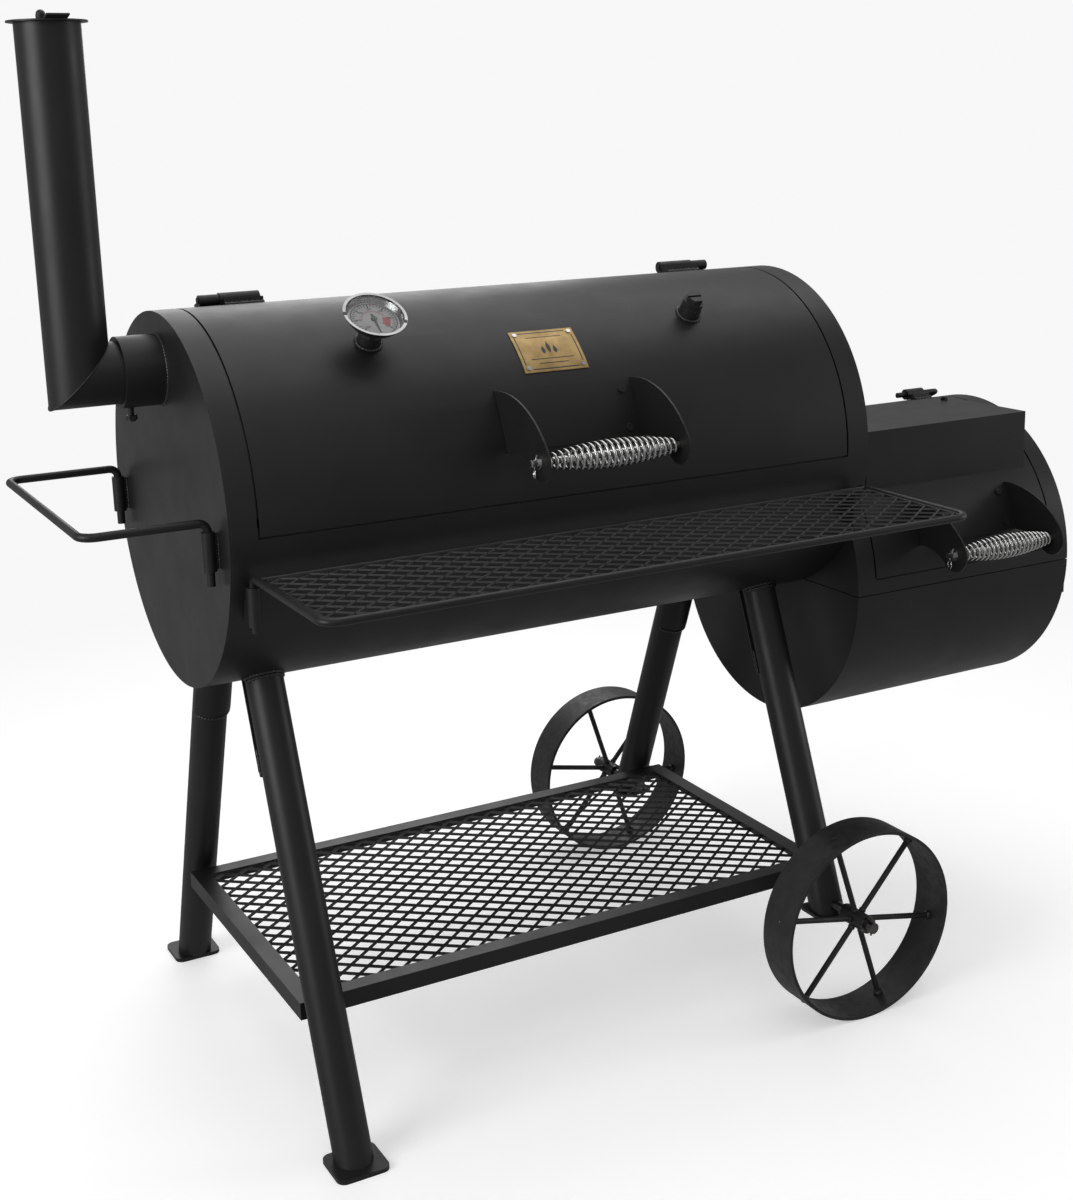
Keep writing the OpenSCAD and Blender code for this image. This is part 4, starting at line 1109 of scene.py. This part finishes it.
@dataclass
class SpokeWelds:
    """The lumps of weld at both ends of each wheel spoke."""

    node: str
    body: str
    spokes: int = 6
    phase: float = 12.0
    rim_inset: float = 6 * MM
    hub_radius: float = 15 * MM
    rim_lump: Rgb = (7 * MM, 7 * MM, 7 * MM)
    hub_lump: Rgb = (5 * MM, 6 * MM, 5 * MM)

    def build(self) -> None:
        """Puts a lump at each spoke's two ends."""
        span = Span.of(self.node)
        mid = span.mid
        rim = span.size.z / 2 - self.rim_inset
        pen = MeshPen(self.node + "_welds")
        for i in range(self.spokes):
            turn = TAU * i / self.spokes + math.radians(self.phase)
            ray = Vector((math.cos(turn), 0, -math.sin(turn)))
            pen.blob(mid + ray * rim, Vector(self.rim_lump), i + 0.3)
            pen.blob(mid + ray * self.hub_radius, Vector(self.hub_lump), i + 5.1)
        pen.piece(WELD, self.body, 60)


@dataclass
class RingClips:
    """The bent wire clips through the ends of a grip's rod."""

    node: str
    body: str
    wire: float = 1.1 * MM
    loop: float = 6 * MM
    squeeze: float = 0.35
    inset: float = 7.2 * MM
    offset: tuple[float, float] = (2 * MM, 9 * MM)

    def build(self) -> None:
        """Bends one loop at each end of the rod."""
        span = Span.of(self.node)
        pen = MeshPen(self.node + "_clips")
        for side in (-1, 1):
            x = span.mid.x + side * (span.size.x / 2 - self.inset)
            mid = Vector((x, span.mid.y + self.offset[0], span.mid.z - self.offset[1] - self.loop))
            rays = [Vector((self.squeeze * math.sin(t), math.sin(t), math.cos(t))) for t in circle(28)]
            pen.tube([mid + ray * self.loop for ray in rays], [self.wire] * len(rays), 8, True)
        pen.piece(ZINC, self.body, 60)


@dataclass
class Studio:
    """The floor, lights and camera."""

    eye: Rgb = (-1.24863, -2.15689, 1.31434)
    yaw: float = 28.226
    pitch: float = -13.731
    roll: float = -1.449
    lens: float = 51.18
    shift: tuple[float, float] = (-0.0029, -0.05)
    middle: Rgb = (0.0, 0.0, 0.8)
    far: float = 40.0
    far_clip: float = 200.0
    sides: int = 96
    rings: int = 24
    closing: float = 0.998
    fade: tuple[float, float] = (0.8, 2.4)
    pale: Rgb = (0.935, 0.935, 0.94)
    paint: Rgb = (0.8, 0.8, 0.8)
    self_lit: float = 0.42
    surround: float = 0.32
    panels: dict[str, tuple[Rgb, float, float]] = field(default_factory=lambda: {
        "overhead": ((0.7, 0.8, 4.0), 3.8, 62.0),
        "left_side": ((-4.2, -0.9, 1.9), 2.4, 98.0),
        "front_high": ((-0.9, -3.0, 4.0), 2.2, 18.0),
        "right_side": ((4.2, -1.6, 1.5), 1.6, 30.0),
        "behind": ((1.2, 4.4, 2.6), 2.4, 40.0),
    })

    def build(self) -> None:
        """Sets up the whole studio."""
        self._floor()
        self._lights()
        self._camera()

    def _floor(self) -> None:
        """A plain pale floor that fades into a pale dome; only the camera sees them."""
        sides, rings = self.sides, self.rings
        edge = [Vector((math.cos(t), math.sin(t), 0)) * self.far for t in circle(sides)]
        floor = self._surface("floor", edge, [tuple(range(sides))])
        corners = []
        for i in range(rings + 1):
            rise = math.pi * (i / rings - 0.5) * self.closing
            height = Vector((0, 0, self.far * math.sin(rise)))
            corners += [point * math.cos(rise) + height for point in edge]
        faces = []
        for i in range(rings):
            for k in range(sides):
                a, b = i * sides + k, i * sides + (k + 1) % sides
                faces.append((a, a + sides, b + sides, b))
        shell = self._surface("dome", corners, faces)
        shell.data.materials.append(self._glow("dome_paint", None))
        floor.data.materials.append(self._glow("floor_paint", self.fade))
        for item in (floor, shell):
            item.visible_diffuse = False
            item.visible_glossy = False
            item.visible_transmission = False
        shell.visible_shadow = False

    @staticmethod
    def _surface(name: str, corners: Sequence[Vector], faces: Sequence[tuple[int, ...]]) -> bpy.types.Object:
        """Makes one plain surface of the studio.

        Args:
            name: Its name.
            corners: Its corners.
            faces: Its faces, as numbers of those corners.

        Returns:
            The surface.
        """
        mesh = bpy.data.meshes.new(name)
        mesh.from_pydata([tuple(c) for c in corners], [], faces)
        return placed(name, mesh)

    def _glow(self, name: str, fade: tuple[float, float] | None) -> bpy.types.Material:
        """A pale paint that shines evenly, all over or beyond a distance from the middle.

        Args:
            name: The material's name.
            fade: Distances between which a shaded paint turns into the even one, or None.

        Returns:
            The material.
        """
        bench = NodeBench(name)
        out = bench.tree.nodes["Material Output"]
        even = bench.add("Emission", Color=(*self.pale, 1.0), Strength=1.0)
        if fade is None:
            bench.tree.links.new(even.outputs[0], out.inputs["Surface"])
            return bench.material
        bench.shader.inputs["Base Color"].default_value = (*self.paint, 1.0)
        bench.shader.inputs["Roughness"].default_value = 0.9
        bench.shader.inputs["Specular IOR Level"].default_value = 0.0
        bench.shader.inputs["Emission Color"].default_value = (*self.pale, 1.0)
        bench.shader.inputs["Emission Strength"].default_value = self.self_lit
        length = bench.add("VectorMath")
        length.operation = "LENGTH"
        bench.feed(length.inputs[0], bench.place())
        far = bench.remap(length.outputs["Value"], fade[0], fade[1], 0.0, 1.0)
        mixed = bench.add("MixShader")
        bench.feed(mixed.inputs[0], far)
        bench.tree.links.new(bench.shader.outputs[0], mixed.inputs[1])
        bench.tree.links.new(even.outputs[0], mixed.inputs[2])
        bench.tree.links.new(mixed.outputs[0], out.inputs["Surface"])
        return bench.material

    def _lights(self) -> None:
        """Broad soft lights in a dim surround."""
        world = bpy.data.worlds.new("surround")
        world.use_nodes = True
        world.node_tree.nodes["Background"].inputs["Color"].default_value = (1, 1, 1, 1)
        world.node_tree.nodes["Background"].inputs["Strength"].default_value = self.surround
        bpy.context.scene.world = world
        for name, (place, size, power) in self.panels.items():
            self._panel(name, Vector(place), size, power)

    def _panel(self, name: str, place: Vector, size: float, power: float) -> None:
        """Hangs one square soft light that faces the smoker's middle.

        Args:
            name: The light's name.
            place: Where it hangs.
            size: Its side, in metres.
            power: Its power, in watts.
        """
        light = bpy.data.lights.new(name, "AREA")
        light.size = size
        light.energy = power
        item = placed(name, light)
        item.location = place
        item.rotation_euler = (Vector(self.middle) - place).to_track_quat("-Z", "Y").to_euler()

    def _camera(self) -> None:
        """Sets the camera."""
        yaw, pitch, roll = (math.radians(a) for a in (self.yaw, self.pitch, self.roll))
        ahead = Vector((math.sin(yaw) * math.cos(pitch), math.cos(yaw) * math.cos(pitch), math.sin(pitch)))
        right = Vector((math.cos(yaw), -math.sin(yaw), 0))
        up = right.cross(ahead)
        level_right = right * math.cos(roll) + up * math.sin(roll)
        level_up = up * math.cos(roll) - right * math.sin(roll)
        camera = bpy.data.cameras.new("camera")
        camera.lens = self.lens
        camera.shift_x, camera.shift_y = self.shift
        camera.clip_end = self.far_clip
        item = placed("camera", camera)
        turn = Matrix((level_right, level_up, -ahead)).transposed().to_4x4()
        item.matrix_world = Matrix.Translation(Vector(self.eye)) @ turn
        bpy.context.scene.camera = item
        bpy.context.scene.view_settings.view_transform = "Standard"


def drums() -> tuple[Drum, Drum]:
    """Reads the two drums from the frame.

    Returns:
        The cooking chamber and the firebox.
    """
    shell, end = Span.of("chamber_shell"), Span.of("chamber_end_left")
    chamber = Drum(end.mid.y, end.mid.z, end.size.z / 2, end.low.x, shell.high.x)
    lower = Span.of("firebox_lower")
    firebox = Drum(lower.mid.y, lower.low.z + lower.size.y / 2, lower.size.y / 2, lower.low.x, lower.high.x)
    return chamber, firebox


def main() -> None:
    """Builds the smoker's looks in order."""
    logging.basicConfig(level=logging.INFO, format="%(message)s")
    chamber, firebox = drums()
    CarriedSteel().dress(frame["nodes"])
    parts = (
        CoiledGrip("lid_grip", "lid_grip"),
        CoiledGrip("firebox_grip", "firebox_grip", turns=21),
        ExpandedSheet("bottom_shelf_mesh", "base"),
        ExpandedSheet("front_shelf_mesh", "front_shelf", width=1.5 * MM, tilt=-24.0),
        Thermometer(),
        NamePlate(chamber),
        Welds(chamber, firebox),
        SpokeWelds("wheel_front", "wheel_front"),
        SpokeWelds("wheel_rear", "wheel_rear"),
        RingClips("lid_handle_rod", "main_lid"),
        RingClips("firebox_handle_rod", "firebox_lid"),
        Studio(),
    )
    for part in parts:
        part.build()
        log.info("built %s %s", type(part).__name__, getattr(part, "node", ""))


if __name__ == "__main__":
    main()
